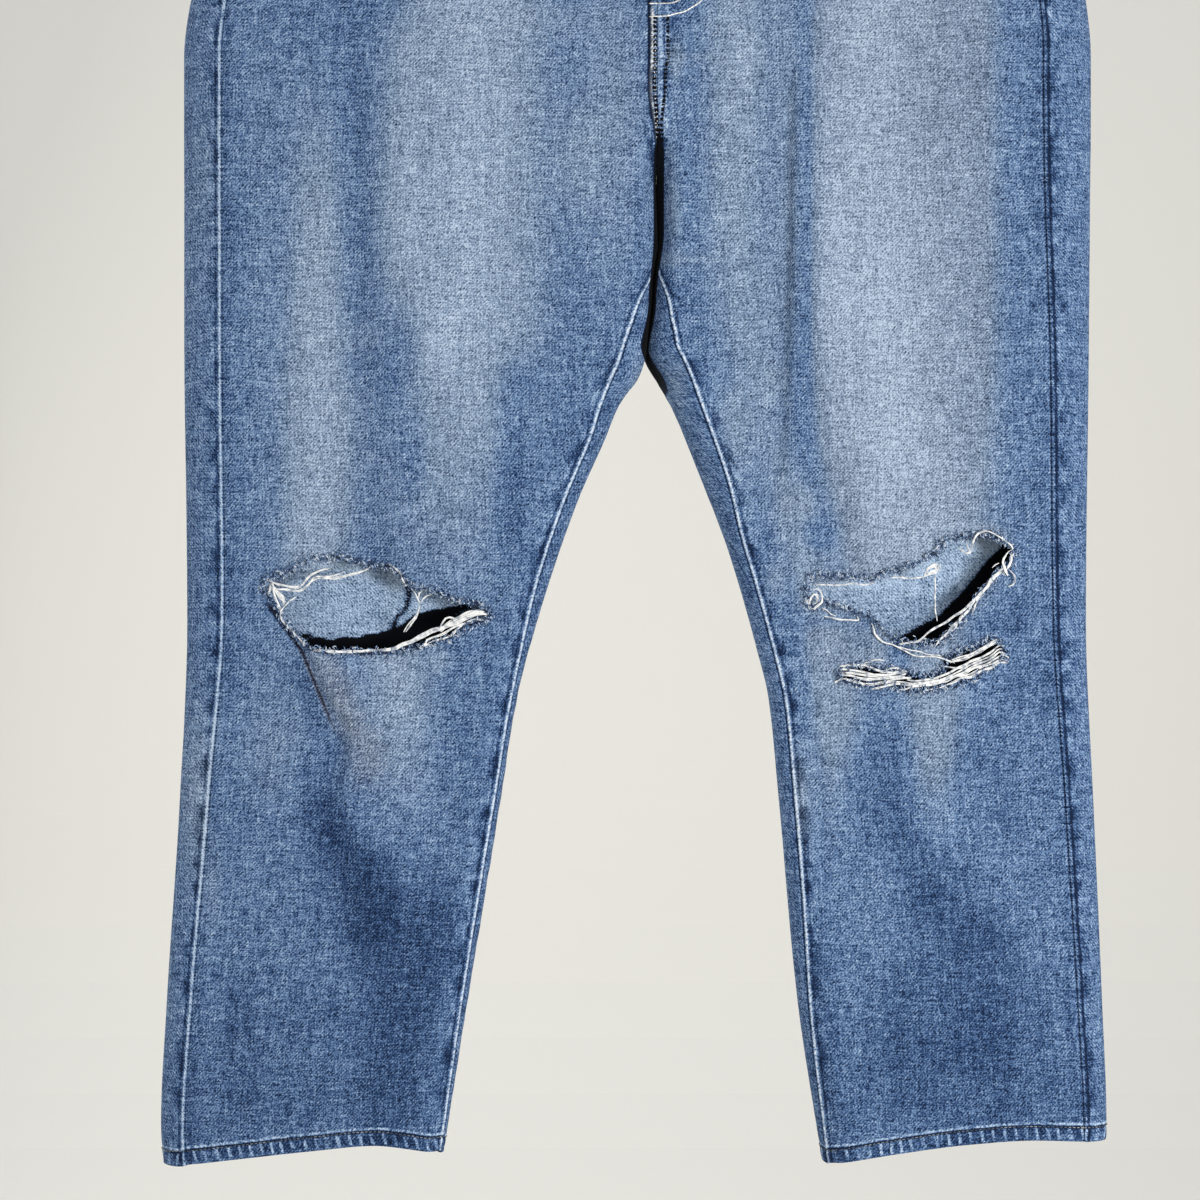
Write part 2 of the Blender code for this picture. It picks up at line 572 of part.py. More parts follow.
def build_jeans():
    for old in list(bpy.data.objects):
        bpy.data.objects.remove(old, do_unlink=True)
    jeans, cutters = new_collection("ripped jeans"), new_collection("cutters")
    denim = make_material("denim", DENIM)
    denim_dark = make_material("denim dark", DENIM_DARK)
    brass = make_material("worn brass", BRASS)

    skins = {-1: Skin(-1, RIGHT_LEG, (RIGHT_FRONT_FOLDS, RIGHT_FRONT_SWELLS),
                      (RIGHT_BACK_FOLDS, RIGHT_BACK_SWELLS)),
             1: Skin(1, LEFT_LEG, (LEFT_FRONT_FOLDS, LEFT_FRONT_SWELLS),
                     (LEFT_BACK_FOLDS, LEFT_BACK_SWELLS))}
    fronts = {}
    for side, word in ((-1, "right"), (1, "left")):
        skin = skins[side]
        front, back = front_grid(skin), back_grid(skin)
        fronts[side] = panel(f"front_{word}", skin, front, denim, jeans)
        cut(fronts[side], scoop_cutter(side, cutters))
        panel(f"back_{word}", skin, back, denim, jeans)
        panel(f"yoke_{word}", skin, yoke_grid(skin), denim, jeans)
        patch(f"pocket_facing_{word}", skin, front, FACING_END, -LAYER, CLOTH,
              flat_cutter("pocket facing", side, FACING, False, cutters), denim_dark, jeans)
        patch(f"back_pocket_{word}", skin, back, BACK_POCKET_END, GAP + POCKET_WALL, POCKET_WALL,
              back_pocket_cutter(side, cutters), denim_dark, jeans)
    for name, rip in RIPS.items():
        cut(fronts[rip["side"]], rip_cutter(name, rip, cutters))

    waistband(skins, denim, jeans)
    places = (("front", -BELT_LOOP["front"]), ("front", BELT_LOOP["front"]),
              ("back", -BELT_LOOP["back"]), ("back", 0), ("back", BELT_LOOP["back"]))
    for number, (wall, x) in enumerate(places, start=1):
        belt_loop(f"belt_loop_{number}", skins, wall, x, denim_dark, jeans)
    fly_strip("zip", skins, (-ZIP["half_width"], ZIP["half_width"]), LAYER, ZIP["wall"], ZIP["end"],
              brass, jeans)
    fly_strip("fly_shield", skins, (SHIELD["from"], SHIELD["to"]), LAYER + ZIP["wall"] + GAP, CLOTH,
              SHIELD["end"], denim, jeans)
    waist_button(skins, brass, jeans)


build_jeans()
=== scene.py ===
from functools import partial
from math import cos, pi, radians, sin

import bmesh
import bpy
import numpy as np
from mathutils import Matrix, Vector


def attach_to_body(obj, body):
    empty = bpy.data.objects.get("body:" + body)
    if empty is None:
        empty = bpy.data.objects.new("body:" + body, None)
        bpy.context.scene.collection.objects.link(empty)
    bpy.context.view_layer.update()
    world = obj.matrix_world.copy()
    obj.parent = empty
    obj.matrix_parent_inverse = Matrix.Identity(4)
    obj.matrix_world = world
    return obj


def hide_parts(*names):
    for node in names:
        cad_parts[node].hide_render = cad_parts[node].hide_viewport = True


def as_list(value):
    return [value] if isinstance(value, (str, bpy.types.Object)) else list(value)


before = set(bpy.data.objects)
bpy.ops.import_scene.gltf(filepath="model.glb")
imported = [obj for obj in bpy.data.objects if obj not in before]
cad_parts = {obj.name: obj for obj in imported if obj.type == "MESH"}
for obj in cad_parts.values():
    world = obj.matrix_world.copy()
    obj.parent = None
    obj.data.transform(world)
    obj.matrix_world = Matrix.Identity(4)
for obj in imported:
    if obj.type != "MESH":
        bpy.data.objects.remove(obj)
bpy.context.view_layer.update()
scene = bpy.context.scene
print("frame: %d nodes" % len(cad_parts))

mm = 0.001

# Lengths are in millimetres. "drop" is the height below the waistband's top edge, "across" the distance
# from the centre line towards the piece's own side, and "run" the distance round a half's outer skin.
garment = {
    "gap": 0.3, "cloth": 1.4, "hemWall": 2.8, "hemDepth": 12.0,
    "bandDepth": 38.0, "bandWall": 3.0, "bandProud": 0.6, "panelTop": 38.6,
    "frontDip": 12.0, "dipEnd": 200.0, "crotch": 300.0, "length": 974.0,
    "yokeAtSide": 80.0, "yokeAtCentre": 114.0, "levelRow": 140.0,
}
sampling = {"rowStep": 2.0, "loop": 400, "turn": 300}

# drop, front, back, rollOut, rollIn: the walls' depth, and how much of the width turns round each edge
depths = (
    (0, 12, 12, 26, 20), (38, 14, 14, 30, 20), (108, 19, 21, 38, 22), (176, 22, 25, 42, 24),
    (260, 22, 24, 42, 18), (300, 21, 22, 40, 15), (380, 18, 18, 38, 16), (450, 16, 15, 36, 22),
    (590, 12, 12, 30, 22), (720, 12, 12, 28, 22), (860, 14, 14, 28, 22), (974, 15, 15, 28, 22),
)

# Side edges (drop, across), how far each seam lies in from its edge on the front (drop, inset), and the
# hem's drop, from 0 at the inseam by 1 at the outseam to 2 at the inseam again.
rightLeg = {
    "outer": ((0, 231), (38, 236), (70, 259), (105, 284), (140, 306), (176, 321), (212, 325),
              (400, 325), (600, 323), (720, 328), (860, 337), (944, 341), (974, 339)),
    "inner": ((0, -60), (200, -60), (240, -28), (256, -13), (266, -7), (276, -3.6), (288, -1.3),
              (300, 0.15), (320, -0.6), (340, -0.9), (360, 1.2), (380, 2.6), (400, 4.8), (410, 6.2),
              (418, 7.6), (431, 12), (449, 25), (475, 36), (516, 54), (584, 77.5), (652, 96),
              (720, 107), (788, 118), (860, 130), (974, 148)),
    "outseam": ((0, 24), (176, 30), (590, 28), (720, 23), (974, 19)),
    "inseam": ((0, 0), (352, 0), (362, 1.5), (372, 5.5), (382, 9), (395, 12), (413, 15.5), (431, 17),
               (449, 11.5), (475, 9), (564, 7.5), (652, 3), (774, 3.5), (974, 1.5)),
    "hem": ((0, 961), (0.06, 960.6), (0.14, 958.2), (0.28, 955.6), (0.5, 959), (0.85, 966), (1, 969),
            (1.07, 970.5), (1.25, 968), (1.5, 964), (2, 963)),
}
leftLeg = {
    "outer": ((0, 227), (38, 232), (70, 251), (105, 270), (140, 286), (176, 296), (212, 299),
              (400, 298), (600, 296), (720, 301), (860, 307), (944, 310), (974, 308)),
    "inner": ((0, -60), (200, -60), (240, -28), (256, -13), (266, -7), (276, -3.6), (288, -1.3),
              (300, 0.15), (320, 1.4), (340, 1.7), (360, -0.4), (380, -1.8), (400, -4), (410, -5.2),
              (418, -2.8), (438, 6), (464, 16.3), (495, 28.6), (550, 49.6), (618, 69.4),
              (652, 77.5), (720, 84.4), (856, 97), (974, 115)),
    "outseam": ((0, 28), (108, 34), (176, 37), (230, 37.5), (285, 36.5), (320, 35), (420, 30), (600, 25),
                (720, 22), (974, 18)),
    "inseam": ((0, 0), (350, 0), (360, 1.5), (368, 4.5), (380, 9), (392, 12.2), (403, 16), (412, 18.2),
               (424, 19.7), (442, 18.8), (495, 17), (550, 10.5), (784, 9), (875, 6), (974, 2.5)),
    "hem": ((0, 970), (0.3, 961), (0.55, 955), (0.8, 952), (1, 953), (1.5, 960), (2, 970)),
}

# Lengthwise folds (drop, across, rise, reachIn, reachOut) and swells (drop, across, rise, half width,
# half height), the same on the skin as on the frame's solids.
rightFolds = {
    "front": (
        ((190, 183, 0, 130, 28), (250, 181, 4.5, 130, 28), (400, 180, 6, 130, 30),
         (500, 172, 5, 120, 32), (560, 164, 4, 110, 34), (610, 160, 0, 100, 34)),
        ((600, 246, 0, 40, 12), (618, 232, 4.5, 50, 11), (645, 220, 5.5, 60, 12),
         (678, 203, 5, 60, 14), (714, 207, 4, 60, 20), (785, 192, 2.5, 60, 26), (835, 184, 0, 60, 30)),
    ),
    "back": (
        ((300, 90, 0, 40, 60), (380, 110, 4, 36, 60), (470, 140, 5, 34, 60), (560, 165, 0, 40, 60)),
        ((640, 215, 0, 50, 30), (720, 222, 4, 50, 28), (820, 230, 3, 50, 30), (900, 236, 0, 50, 30)),
    ),
}
leftFolds = {
    "front": (
        ((205, 97, 0, 8, 90), (250, 95, 4.5, 7, 100), (340, 94, 6, 7, 110), (430, 93, 5.5, 8, 110),
         (500, 93, 4, 14, 100), (560, 95, 2.5, 24, 90), (610, 98, 0, 26, 80)),
    ),
    "back": (
        ((310, 80, 0, 40, 60), (400, 98, 5, 34, 60), (480, 128, 4, 36, 60), (550, 150, 0, 40, 60)),
        ((660, 190, 0, 50, 34), (740, 196, 3.5, 48, 30), (850, 200, 4, 50, 30), (920, 205, 0, 50, 30)),
    ),
}
rightSwells = {
    "front": ((628, 205, 5, 80, 46), (540, 205, -2, 70, 30), (880, 240, 2.5, 90, 60)),
    "back": ((575, 200, -3, 110, 16), (608, 210, -3, 100, 15), (250, 170, 5, 120, 110)),
}
leftSwells = {
    "front": ((640, 175, 5, 80, 44), (545, 170, -2, 70, 30), (870, 200, 2.5, 90, 60)),
    "back": ((570, 185, -3, 100, 16), (602, 175, -3, 110, 15), (250, 150, 5, 120, 110)),
}


def readTable(rows, wanted):
    # smooth curve through (key, value) rows, without overshoot between them
    keys, values = (np.array(column, dtype=float) for column in zip(*rows))
    wanted = np.clip(np.asarray(wanted, dtype=float), keys[0], keys[-1])
    step = np.diff(keys)
    slope = np.diff(values) / step
    tangent = np.zeros_like(keys)
    tangent[0], tangent[-1] = slope[0], slope[-1]
    sameWay = slope[:-1] * slope[1:] > 0
    product = np.where(sameWay, slope[:-1] * slope[1:], 0.0)
    total = np.where(sameWay, slope[:-1] + slope[1:], 1.0)
    tangent[1:-1] = 2 * product / total
    k = np.clip(np.searchsorted(keys, wanted, side="right") - 1, 0, len(step) - 1)
    t = (wanted - keys[k]) / step[k]
    return (values[k] * (1 + 2 * t) * (1 - t) ** 2 + step[k] * tangent[k] * t * (1 - t) ** 2
            + values[k + 1] * t ** 2 * (3 - 2 * t) + step[k] * tangent[k + 1] * t ** 2 * (t - 1))


def readColumns(rows, wanted):
    return [readTable([(row[0], row[i]) for row in rows], wanted) for i in range(1, len(rows[0]))]


def ease(t):
    t = np.clip(t, 0, 1)
    return t * t * (3 - 2 * t)


def crest(distance, reach):
    # 1 at the crest, easing to 0 at the end of its reach
    return 0.5 + 0.5 * np.cos(pi * np.clip(np.abs(distance) / reach, 0, 1))


def roll(distance, length):
    # quarter ellipse: 0 at the edge, 1 where the wall is flat
    return np.sqrt(np.clip(1 - (1 - np.clip(distance / length, 0, 1)) ** 2, 0, 1))


def bandSum(across, drops, bands, spots):
    # lengthwise bands and round spots, summed over places on a wall
    total = np.zeros(np.broadcast(across, drops).shape)
    for rows in bands:
        middle, rise, reachIn, reachOut = readColumns(rows, drops)
        beyond = across - middle
        total = total + rise * crest(beyond, np.where(beyond > 0, reachOut, reachIn))
    for drop, middle, rise, halfWidth, halfHeight in spots:
        total = total + rise * crest(across - middle, halfWidth) * crest(drops - drop, halfHeight)
    return total


# Below the crotch the legs part in front in a narrow cleft (drop, opening by side), and behind it the
# left leg's inner edge lies over the right one's.
cleft = {
    "turn": 2.4, "fade": 30.0, "half": 0.5,
    "front": {-1: ((262, 0), (280, 2.2), (346, 2.2), (380, 1.6), (418, 0)),
              1: ((262, 0), (278, 3), (300, 2.8), (332, 2.2), (360, 0.6), (400, 0))},
    "back": {-1: ((300, 0), (310, 2.9), (390, 2.9), (404, 4.5), (424, 4.5), (450, 0)),
             1: ((296, 0), (304, -4.6), (320, -6), (396, -6), (412, -8), (428, -7), (446, -3.5), (470, 0))},
    "closed": 0.25, "closedFrom": 274,
}


class Skin:
    # outer surface of one half: side is -1 for the wearer's right and +1 for the left
    def __init__(self, side, leg, folds, swells):
        g = garment
        self.side, self.hemRows = side, leg["hem"]
        self.drops = np.arange(0, g["length"] + sampling["rowStep"] / 2, sampling["rowStep"])
        front, back, rollOut, rollIn = readColumns(depths, self.drops)
        outer, inner, outseam, inseam = (readTable(leg[name], self.drops)
                                         for name in ("outer", "inner", "outseam", "inseam"))
        turn = (1 - np.cos(np.linspace(0, pi, sampling["turn"]))) / 2
        across = inner[:, None] + (outer - inner)[:, None] * turn
        drops = np.repeat(self.drops[:, None], len(turn), axis=1)
        flat = roll(across - inner[:, None], rollIn[:, None]) * roll(outer[:, None] - across,
                                                                     rollOut[:, None])
        frontY = -(front[:, None] + bandSum(across, drops, folds["front"], swells["front"])) * flat
        backY = (back[:, None] + bandSum(across, drops, folds["back"], swells["back"])) * flat
        dip = (g["frontDip"] * (1 - (across / outer[:, None]) ** 2)
               * ease((g["dipEnd"] - drops) / (g["dipEnd"] - g["bandDepth"])))
        past = across - np.maximum(inner, g["gap"] / 2)[:, None]
        far = ease((past - cleft["turn"]) / cleft["fade"])
        frontX = across + (readTable(cleft["front"][side], self.drops)[:, None]
                           * ease(past / cleft["turn"]) * (1 - far))
        backX = across + (readTable(cleft["back"][side], self.drops)[:, None]
                          * ease(backY / (cleft["half"] * back[:, None])) * (1 - far))
        loop = np.concatenate([np.stack([frontX, frontY, -drops - dip], axis=2),
                               np.stack([backX, backY, -drops], axis=2)[:, ::-1][:, 1:]], axis=1)
        steps = np.linalg.norm(np.diff(loop[:, :, :2], axis=1), axis=2)
        run = np.concatenate([np.zeros((len(loop), 1)), np.cumsum(steps, axis=1)], axis=1)
        self.girth = run[:, -1]
        share = np.linspace(0, 1, sampling["loop"] + 1)
        self.points = np.array([[np.interp(share * total, along, row[:, axis]) for axis in range(3)]
                                for total, along, row in zip(self.girth, run, loop)]).transpose(0, 2, 1)
        down = np.gradient(self.points, axis=0)
        ring = self.points[:, :-1]
        onward = np.roll(ring, -1, axis=1) - np.roll(ring, 1, axis=1)
        onward = np.concatenate([onward, onward[:, :1]], axis=1)
        normals = np.cross(onward, down)
        self.normals = normals / np.linalg.norm(normals, axis=2, keepdims=True)
        if self.normals[10, sampling["loop"] // 5, 1] > 0:
            self.normals = -self.normals
        middle = len(turn)
        self.frontRun, self.frontAcross = run[:, :middle], loop[:, :middle, 0]
        self.backRun, self.backAcross = run[:, middle - 1:][:, ::-1], loop[:, middle - 1:, 0][:, ::-1]
        above = self.drops <= g["crotch"]
        inseam = np.where(above, g["gap"] / 2, inner + inseam)
        self.outseam = self.along("front", outer - outseam)
        self.frontStart = self.along("front", inseam)
        self.backEnd = np.where(above, self.along("back", inseam), self.girth + self.frontStart)

    def wallRows(self, wall):
        return (self.frontAcross, self.frontRun) if wall == "front" else (self.backAcross, self.backRun)

    def along(self, wall, across):
        return np.array([np.interp(*row) for row in zip(across, *self.wallRows(wall))])

    def seam(self, rows, drop):
        return np.interp(drop, self.drops, rows)

    def hem(self, u):
        return readTable(self.hemRows, u)

    def lookUp(self, grid, row, run):
        column = (run / self.girth[row]) % 1.0 * sampling["loop"]
        k = np.minimum(column.astype(int), sampling["loop"] - 1)
        t = (column - k)[..., None]
        return grid[row, k] * (1 - t) + grid[row, k + 1] * t

    def at(self, drop, run, out=0.0):
        # points at a drop and a run, moved out along the skin's normals
        drop, run, out = np.broadcast_arrays(*(np.asarray(v, dtype=float) for v in (drop, run, out)))
        row = np.clip(drop, 0, self.drops[-1]) / sampling["rowStep"]
        low = np.minimum(row.astype(int), len(self.drops) - 2)
        t = (row - low)[..., None]
        points, normals = (self.lookUp(grid, low, run) * (1 - t) + self.lookUp(grid, low + 1, run) * t
                           for grid in (self.points, self.normals))
        points = points + normals * out[..., None] / np.linalg.norm(normals, axis=-1, keepdims=True)
        over = cleft["closed"] * ease((drop - cleft["closedFrom"]) / 10) if self.side > 0 else 0
        limit = np.where(drop <= garment["crotch"], garment["gap"] / 2 - over, -np.inf)
        inside = (run > self.seam(self.frontStart, drop) - 1) & (run < self.seam(self.backEnd, drop) + 1)
        points[..., 0] = np.where(inside, np.maximum(points[..., 0] - over, limit), points[..., 0])
        return points * (self.side, 1, 1)

    def runAt(self, wall, drop, across):
        drop, across = np.broadcast_arrays(np.asarray(drop, dtype=float), across)
        places, runs = self.wallRows(wall)
        row = np.clip(drop / sampling["rowStep"], 0, len(self.drops) - 1.001)
        low = row.astype(int)
        found = [(np.interp(a, places[r], runs[r]), np.interp(a, places[r + 1], runs[r + 1]))
                 for a, r in zip(across.flat, low.flat)]
        above, below = np.array(found).reshape(*drop.shape, 2).transpose(-1, *range(drop.ndim))
        return above + (below - above) * (row - low)

    def onWall(self, wall, drop, across, out=0.0):
        return self.at(drop, self.runAt(wall, drop, across), out)


skins = {-1: Skin(-1, rightLeg, rightFolds, rightSwells), 1: Skin(1, leftLeg, leftFolds, leftSwells)}
words = {-1: "right", 1: "left"}
print("skins laid")


def addObject(name, data):
    added = bpy.data.objects.new(name, data)
    scene.collection.objects.link(added)
    return added


def addMesh(name, points, edges, faces, *slots):
    # a new object from points in metres, with the finishes in its slots
    mesh = bpy.data.meshes.new(name)
    mesh.from_pydata(np.asarray(points).tolist(), edges, faces)
    for slot in slots:
        mesh.materials.append(finish[slot])
    return addObject(name, mesh)


def attach(piece):
    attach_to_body(piece, "root")
    print("%s: %d faces" % (piece.name, len(piece.data.polygons)))
    return piece


class Value:
    # a number somewhere in a node tree: arithmetic on it adds Math nodes
    def __init__(self, look, socket):
        self.look, self.socket = look, socket

    def maths(self, operation, *others):
        return self.look.add("ShaderNodeMath", {"operation": operation}, dict(enumerate((self, *others))))

    def __add__(self, other):
        return self.maths("ADD", other)

    def __sub__(self, other):
        return self.maths("SUBTRACT", other)

    def __mul__(self, other):
        return self.maths("MULTIPLY", other)

    def __truediv__(self, other):
        return self.maths("DIVIDE", other)

    def __rsub__(self, other):
        return self.look.add("ShaderNodeMath", {"operation": "SUBTRACT"}, {0: other, 1: self})

    __radd__ = __add__
    __rmul__ = __mul__

    def rise(self, low, high):
        # eases from 0 at low to 1 at high
        return self.look.add("ShaderNodeMapRange", {"interpolation_type": "SMOOTHSTEP"},
                             {"Value": self, "From Min": low, "From Max": high})

    def hump(self, middle, halfWidth):
        return 1 - (self - middle).maths("ABSOLUTE").rise(0, halfWidth)


class Look:
    # one material and its node tree
    def __init__(self, name, **constants):
        self.material = bpy.data.materials.new(name)
        self.material.use_nodes = True
        self.tree = self.material.node_tree
        self.shader = self.tree.nodes["Principled BSDF"]
        for socket, value in constants.items():
            self.shader.inputs[socket.replace("_", " ")].default_value = value

    def add(self, kind, settings=None, inputs=None, output=0):
        node = self.tree.nodes.new(kind)
        for name, value in (settings or {}).items():
            if name == "stops":
                self.setStops(node.color_ramp, value)
            else:
                setattr(node, name, value)
        for name, value in (inputs or {}).items():
            self.feed(node.inputs[name], value)
        return Value(self, node.outputs[output])

    def setStops(self, ramp, stops):
        while len(ramp.elements) < len(stops):
            ramp.elements.new(0.5)
        for element, (place, colour) in zip(ramp.elements, stops):
            element.position = place
            element.color = colour

    def feed(self, socket, value):
        if isinstance(value, Value):
            self.tree.links.new(value.socket, socket)
        else:
            socket.default_value = value

    def coat(self, **inputs):
        # links or sets the shader's own sockets
        for name, value in inputs.items():
            self.feed(self.shader.inputs[name.replace("_", " ")], value)
        return self.material

    def part(self, where, axis, scale=1000):
        return self.add("ShaderNodeSeparateXYZ", {}, {0: where}, axis) * scale

    def map(self, name):
        # both numbers of one of the cloth's maps, in millimetres
        where = self.add("ShaderNodeUVMap", {"uv_map": name})
        return [self.part(where, axis) for axis in (0, 1)]

    def place(self, x, y, z=0.0):
        return self.add("ShaderNodeCombineXYZ", {}, {0: x, 1: y, 2: z})

    def noise(self, x, y, z=0.0, detail=1.0, roughness=0.5):
        return self.add("ShaderNodeTexNoise", {"noise_dimensions": "3D"},
                        {"Vector": self.place(x, y, z), "Scale": 1.0, "Detail": detail,
                         "Roughness": roughness})

    def bump(self, height, distance, strength=1.0):
        return self.add("ShaderNodeBump", {}, {"Height": height, "Distance": distance,
                                               "Strength": strength})


def shade(red, green, blue):
    # a colour as printed on a dye card, 0 to 255, turned to light
    parts = [c / 255 for c in (red, green, blue)]
    return (*(c / 12.92 if c <= 0.04045 else ((c + 0.055) / 1.055) ** 2.4 for c in parts), 1.0)


# Dyes run from the deepest yarn to bare cotton: "fresh" where the indigo is left, "faded" where it has
# gone, and "greyed" on the rubbed left thigh.
denim = {
    "fresh": ((0.0, (12, 26, 50)), (0.18, (30, 51, 84)), (0.32, (48, 71, 105)), (0.46, (74, 97, 131)),
              (0.54, (87, 111, 143)), (0.72, (118, 140, 168)), (0.9, (150, 168, 189)),
              (1.0, (170, 184, 200))),
    "faded": ((0.0, (24, 34, 50)), (0.18, (40, 53, 73)), (0.46, (80, 97, 119)), (0.66, (112, 129, 151)),
              (0.8, (131, 148, 170)), (0.92, (151, 167, 187)), (1.0, (171, 184, 199))),
    "greyed": ((0.0, (28, 36, 49)), (0.46, (83, 96, 114)), (0.8, (131, 144, 162)), (1.0, (162, 174, 189))),
    "bare": ((0.1, (88, 96, 110)), (0.5, (200, 202, 202)), (0.8, (232, 232, 229))),
    # the next dye is near-black, for the needle holes and for the painted shadow deep in the cleft between
    # the legs
    "holeAndShadow": ((0.0, (1, 2, 6)), (1.0, (6, 8, 16))),
    "roughness": 0.95, "shine": 0.1, "lowest": -0.25, "span": 1.4, "relief": 0.0005,
}

# Marks in the cloth are noises about 0: width, length, seed and detail, then strength.
marks = {
    "speck": (0.96, 0.96, 1.3, 0.0, 1.05), "worm": (1.85, 1.8, 8.3, 0.0, 1.5),
    "warp": (1.1, 13, 5.9, 0.0, 0.5), "weft": (10, 1.0, 9.4, 0.0, 0.5),
    "cloud": (60, 90, 2.2, 3.0, 0.16), "slub": (5, 34, 4.8, 2.0, 0.2),
    "streak": (3.2, 160, 6.2, 1.0, 0.2), "mottle": (5.5, 7, 2.9, 1.0, 0.3),
    "shade": (30, 50, 2.7, 2.0, 0.16),
}
twill = {
    "pitch": 2.45, "slope": 0.9, "strength": 0.18, "wander": (9, 9, 3.1, 1.0), "strays": 4.2,
    "patches": (3.4, 2.6, 7.7, 0.0), "shown": (0.36, 0.6), "least": 0.15, "worm": 0.165,
}


def patchy(look, x, y, patches):
    # a noise from 0 to 1 with patches of a width, length, seed and detail
    width, length, seed, detail = patches
    return look.noise(x / width, y / length, seed, detail)


def mark(look, x, drop, name):
    *patches, strength = marks[name]
    return (patchy(look, x, drop, patches) - 0.5) * strength


def weave(look, x, drop, direction=1.0):
    # twill, yarn slubs and speckle as one height about 0
    t = twill
    wander = patchy(look, x, drop, t["wander"]) * t["strays"]
    line = (x * direction + drop * t["slope"]) * (2 * pi / t["pitch"])
    shown = patchy(look, x, drop, t["patches"]).rise(*t["shown"]) * (1 - t["least"]) + t["least"]
    worm = t["worm"] - mark(look, x, drop, "worm").maths("ABSOLUTE")
    return ((line + wander).maths("SINE") * shown * t["strength"] + mark(look, x, drop, "speck") + worm
            + mark(look, x, drop, "warp") + mark(look, x, drop, "weft"))


def ramp(look, wearAndShade, stops):
    return look.add("ShaderNodeValToRGB", {"stops": [(p, shade(*c)) for p, c in stops]}, {0: wearAndShade})


def blend(look, share, first, second):
    return look.add("ShaderNodeMix", {"data_type": "RGBA"}, {0: share, 6: first, 7: second}, 2)


# Wear beside the lapped rise, with a painted shadow along the lap's edge: the drops it starts and ends at,
# its patches (width, length, seed, detail), its marks (distance from the lap's edge, half width), and both
# rows of needle holes, which also shift.
lapWearAndShadow = {
    "from": (42, 46), "sewn": (188, 191), "pale": (178, 190), "folded": (218, 230), "to": (278, 268),
    "edge": -5.7, "closing": (((238, 274), -4.6),), "holePitch": 3.1, "bead": (-0.8, 0.2),
    "puckers": (9, 2.4, 7.1, 1.0), "worn": (1, 5, 3.9, 1.0), "bare": (0.2, 0.5), "fold": (2.3, 1.75),
    "dark": (0.0, 1.3), "strip": (8.4, 4.2), "sunk": (4.0, 4.5), "sunkTo": (208, 234),
    "rows": ((4.2, 2.5, ((218, 230), 0.4), ((248, 266), 2.0)),
             (12.8, 2.1, ((216, 228), 1.7), ((236, 268), 6.6))),
}


def shifted(line, fall, shifts):
    for span, shift in shifts:
        line = line + fall.rise(*span) * shift
    return line


def riseWearAndShadow(look, wearAndShade, beside, fall):
    # a painted shadow along the lap's edge, a worn fold, a puckered strip and two rows of needle holes; also
    # the pale fold
    w = lapWearAndShadow
    rise = fall.rise(*w["from"]) * fall.rise(*w["to"])
    stitched = fall.rise(*w["sewn"]) * rise
    folded = fall.rise(*w["folded"])
    edge = shifted(beside - w["edge"], fall, w["closing"])
    puckered = patchy(look, beside, fall, w["puckers"])
    bead = (fall * (2 * pi / w["holePitch"]) + puckered * 9).maths("SINE").rise(*w["bead"])
    bead = bead * (1.3 - puckered) + 0.1
    # painted shadow along the edge where the left front laps over the right
    wearAndShade = wearAndShade - edge.hump(*w["dark"]) * rise * 1.4
    wearAndShade = wearAndShade + edge.hump(*w["strip"]) * stitched * (puckered * 1.6 - 0.48)
    holes = []
    for inwards, width, *shifts in w["rows"]:
        row = shifted(edge - inwards, fall, shifts)
        holes.append(row.hump(0.0, width))
    sunk = row.hump(*w["sunk"]) * stitched * (1 - fall.rise(*w["sunkTo"]))
    wearAndShade = wearAndShade - sunk * (puckered + 0.1) * 0.5
    worn = patchy(look, 0.0, fall, w["worn"]).rise(*w["bare"]) * 0.5 + 0.5
    pale = (edge + folded * 1.1).hump(*w["fold"]) * (1.0 - folded * 0.3) * worn
    holes = (holes[0] + holes[1]) * stitched * bead
    return wearAndShade, holes.rise(0.12, 0.55), pale * fall.rise(*w["pale"]) * rise


# The cleft's middle line (drops, shift), and where its painted shadow starts and ends.
cleftShade = {
    "middle": 1.4, "shifts": (((332, 380), 4.4), ((380, 418), 6), ((408, 442), -14)),
    "narrows": (((332, 362), 0.9), ((280, 264), 3)), "soft": (3.9, 2.5), "from": (262, 268), "to": (446, 432),
}


def paintedCleftShadow(beside, fall, depth):
    # 1 where the shadow inside the cleft between the legs is painted near-black
    c = cleftShade
    beyond = shifted(beside - c["middle"], fall, c["shifts"]).maths("ABSOLUTE")
    inside = shifted(beyond, fall, c["narrows"]).rise(*c["soft"])
    inside = inside * fall.rise(*c["from"]) * fall.rise(*c["to"])
    return inside * (depth - fall.rise(400, 416) * 8).rise(4, 0)


# Wear and painted shadows along the seams: its patches, its marks (distance from the edge, half width), and
# where the outseams and inseams lie (x).
seamMarks = {
    "along": (7.5, 30, 6.6, 1.0), "worn": (2.6, 1, 8.1, 2.0), "bare": (0.3, 0.65),
    "puckers": (11, 10, 3.3, 1.0), "ridge": (1.5, 1.4), "shadow": (4.3, 1.7), "leftShadow": (3.1, 1.9),
    "brink": (0.4, 0.1), "puckered": (6.0, 6.5), "groove": (0.0, 1.4), "flank": (5.0, 7.0),
    "ripple": (5.0, 6.0), "piping": (1.5, 1.3), "leftOutseam": (226, 244), "rightOutseam": (-250, -275),
    "inseams": (-272, -240),
}


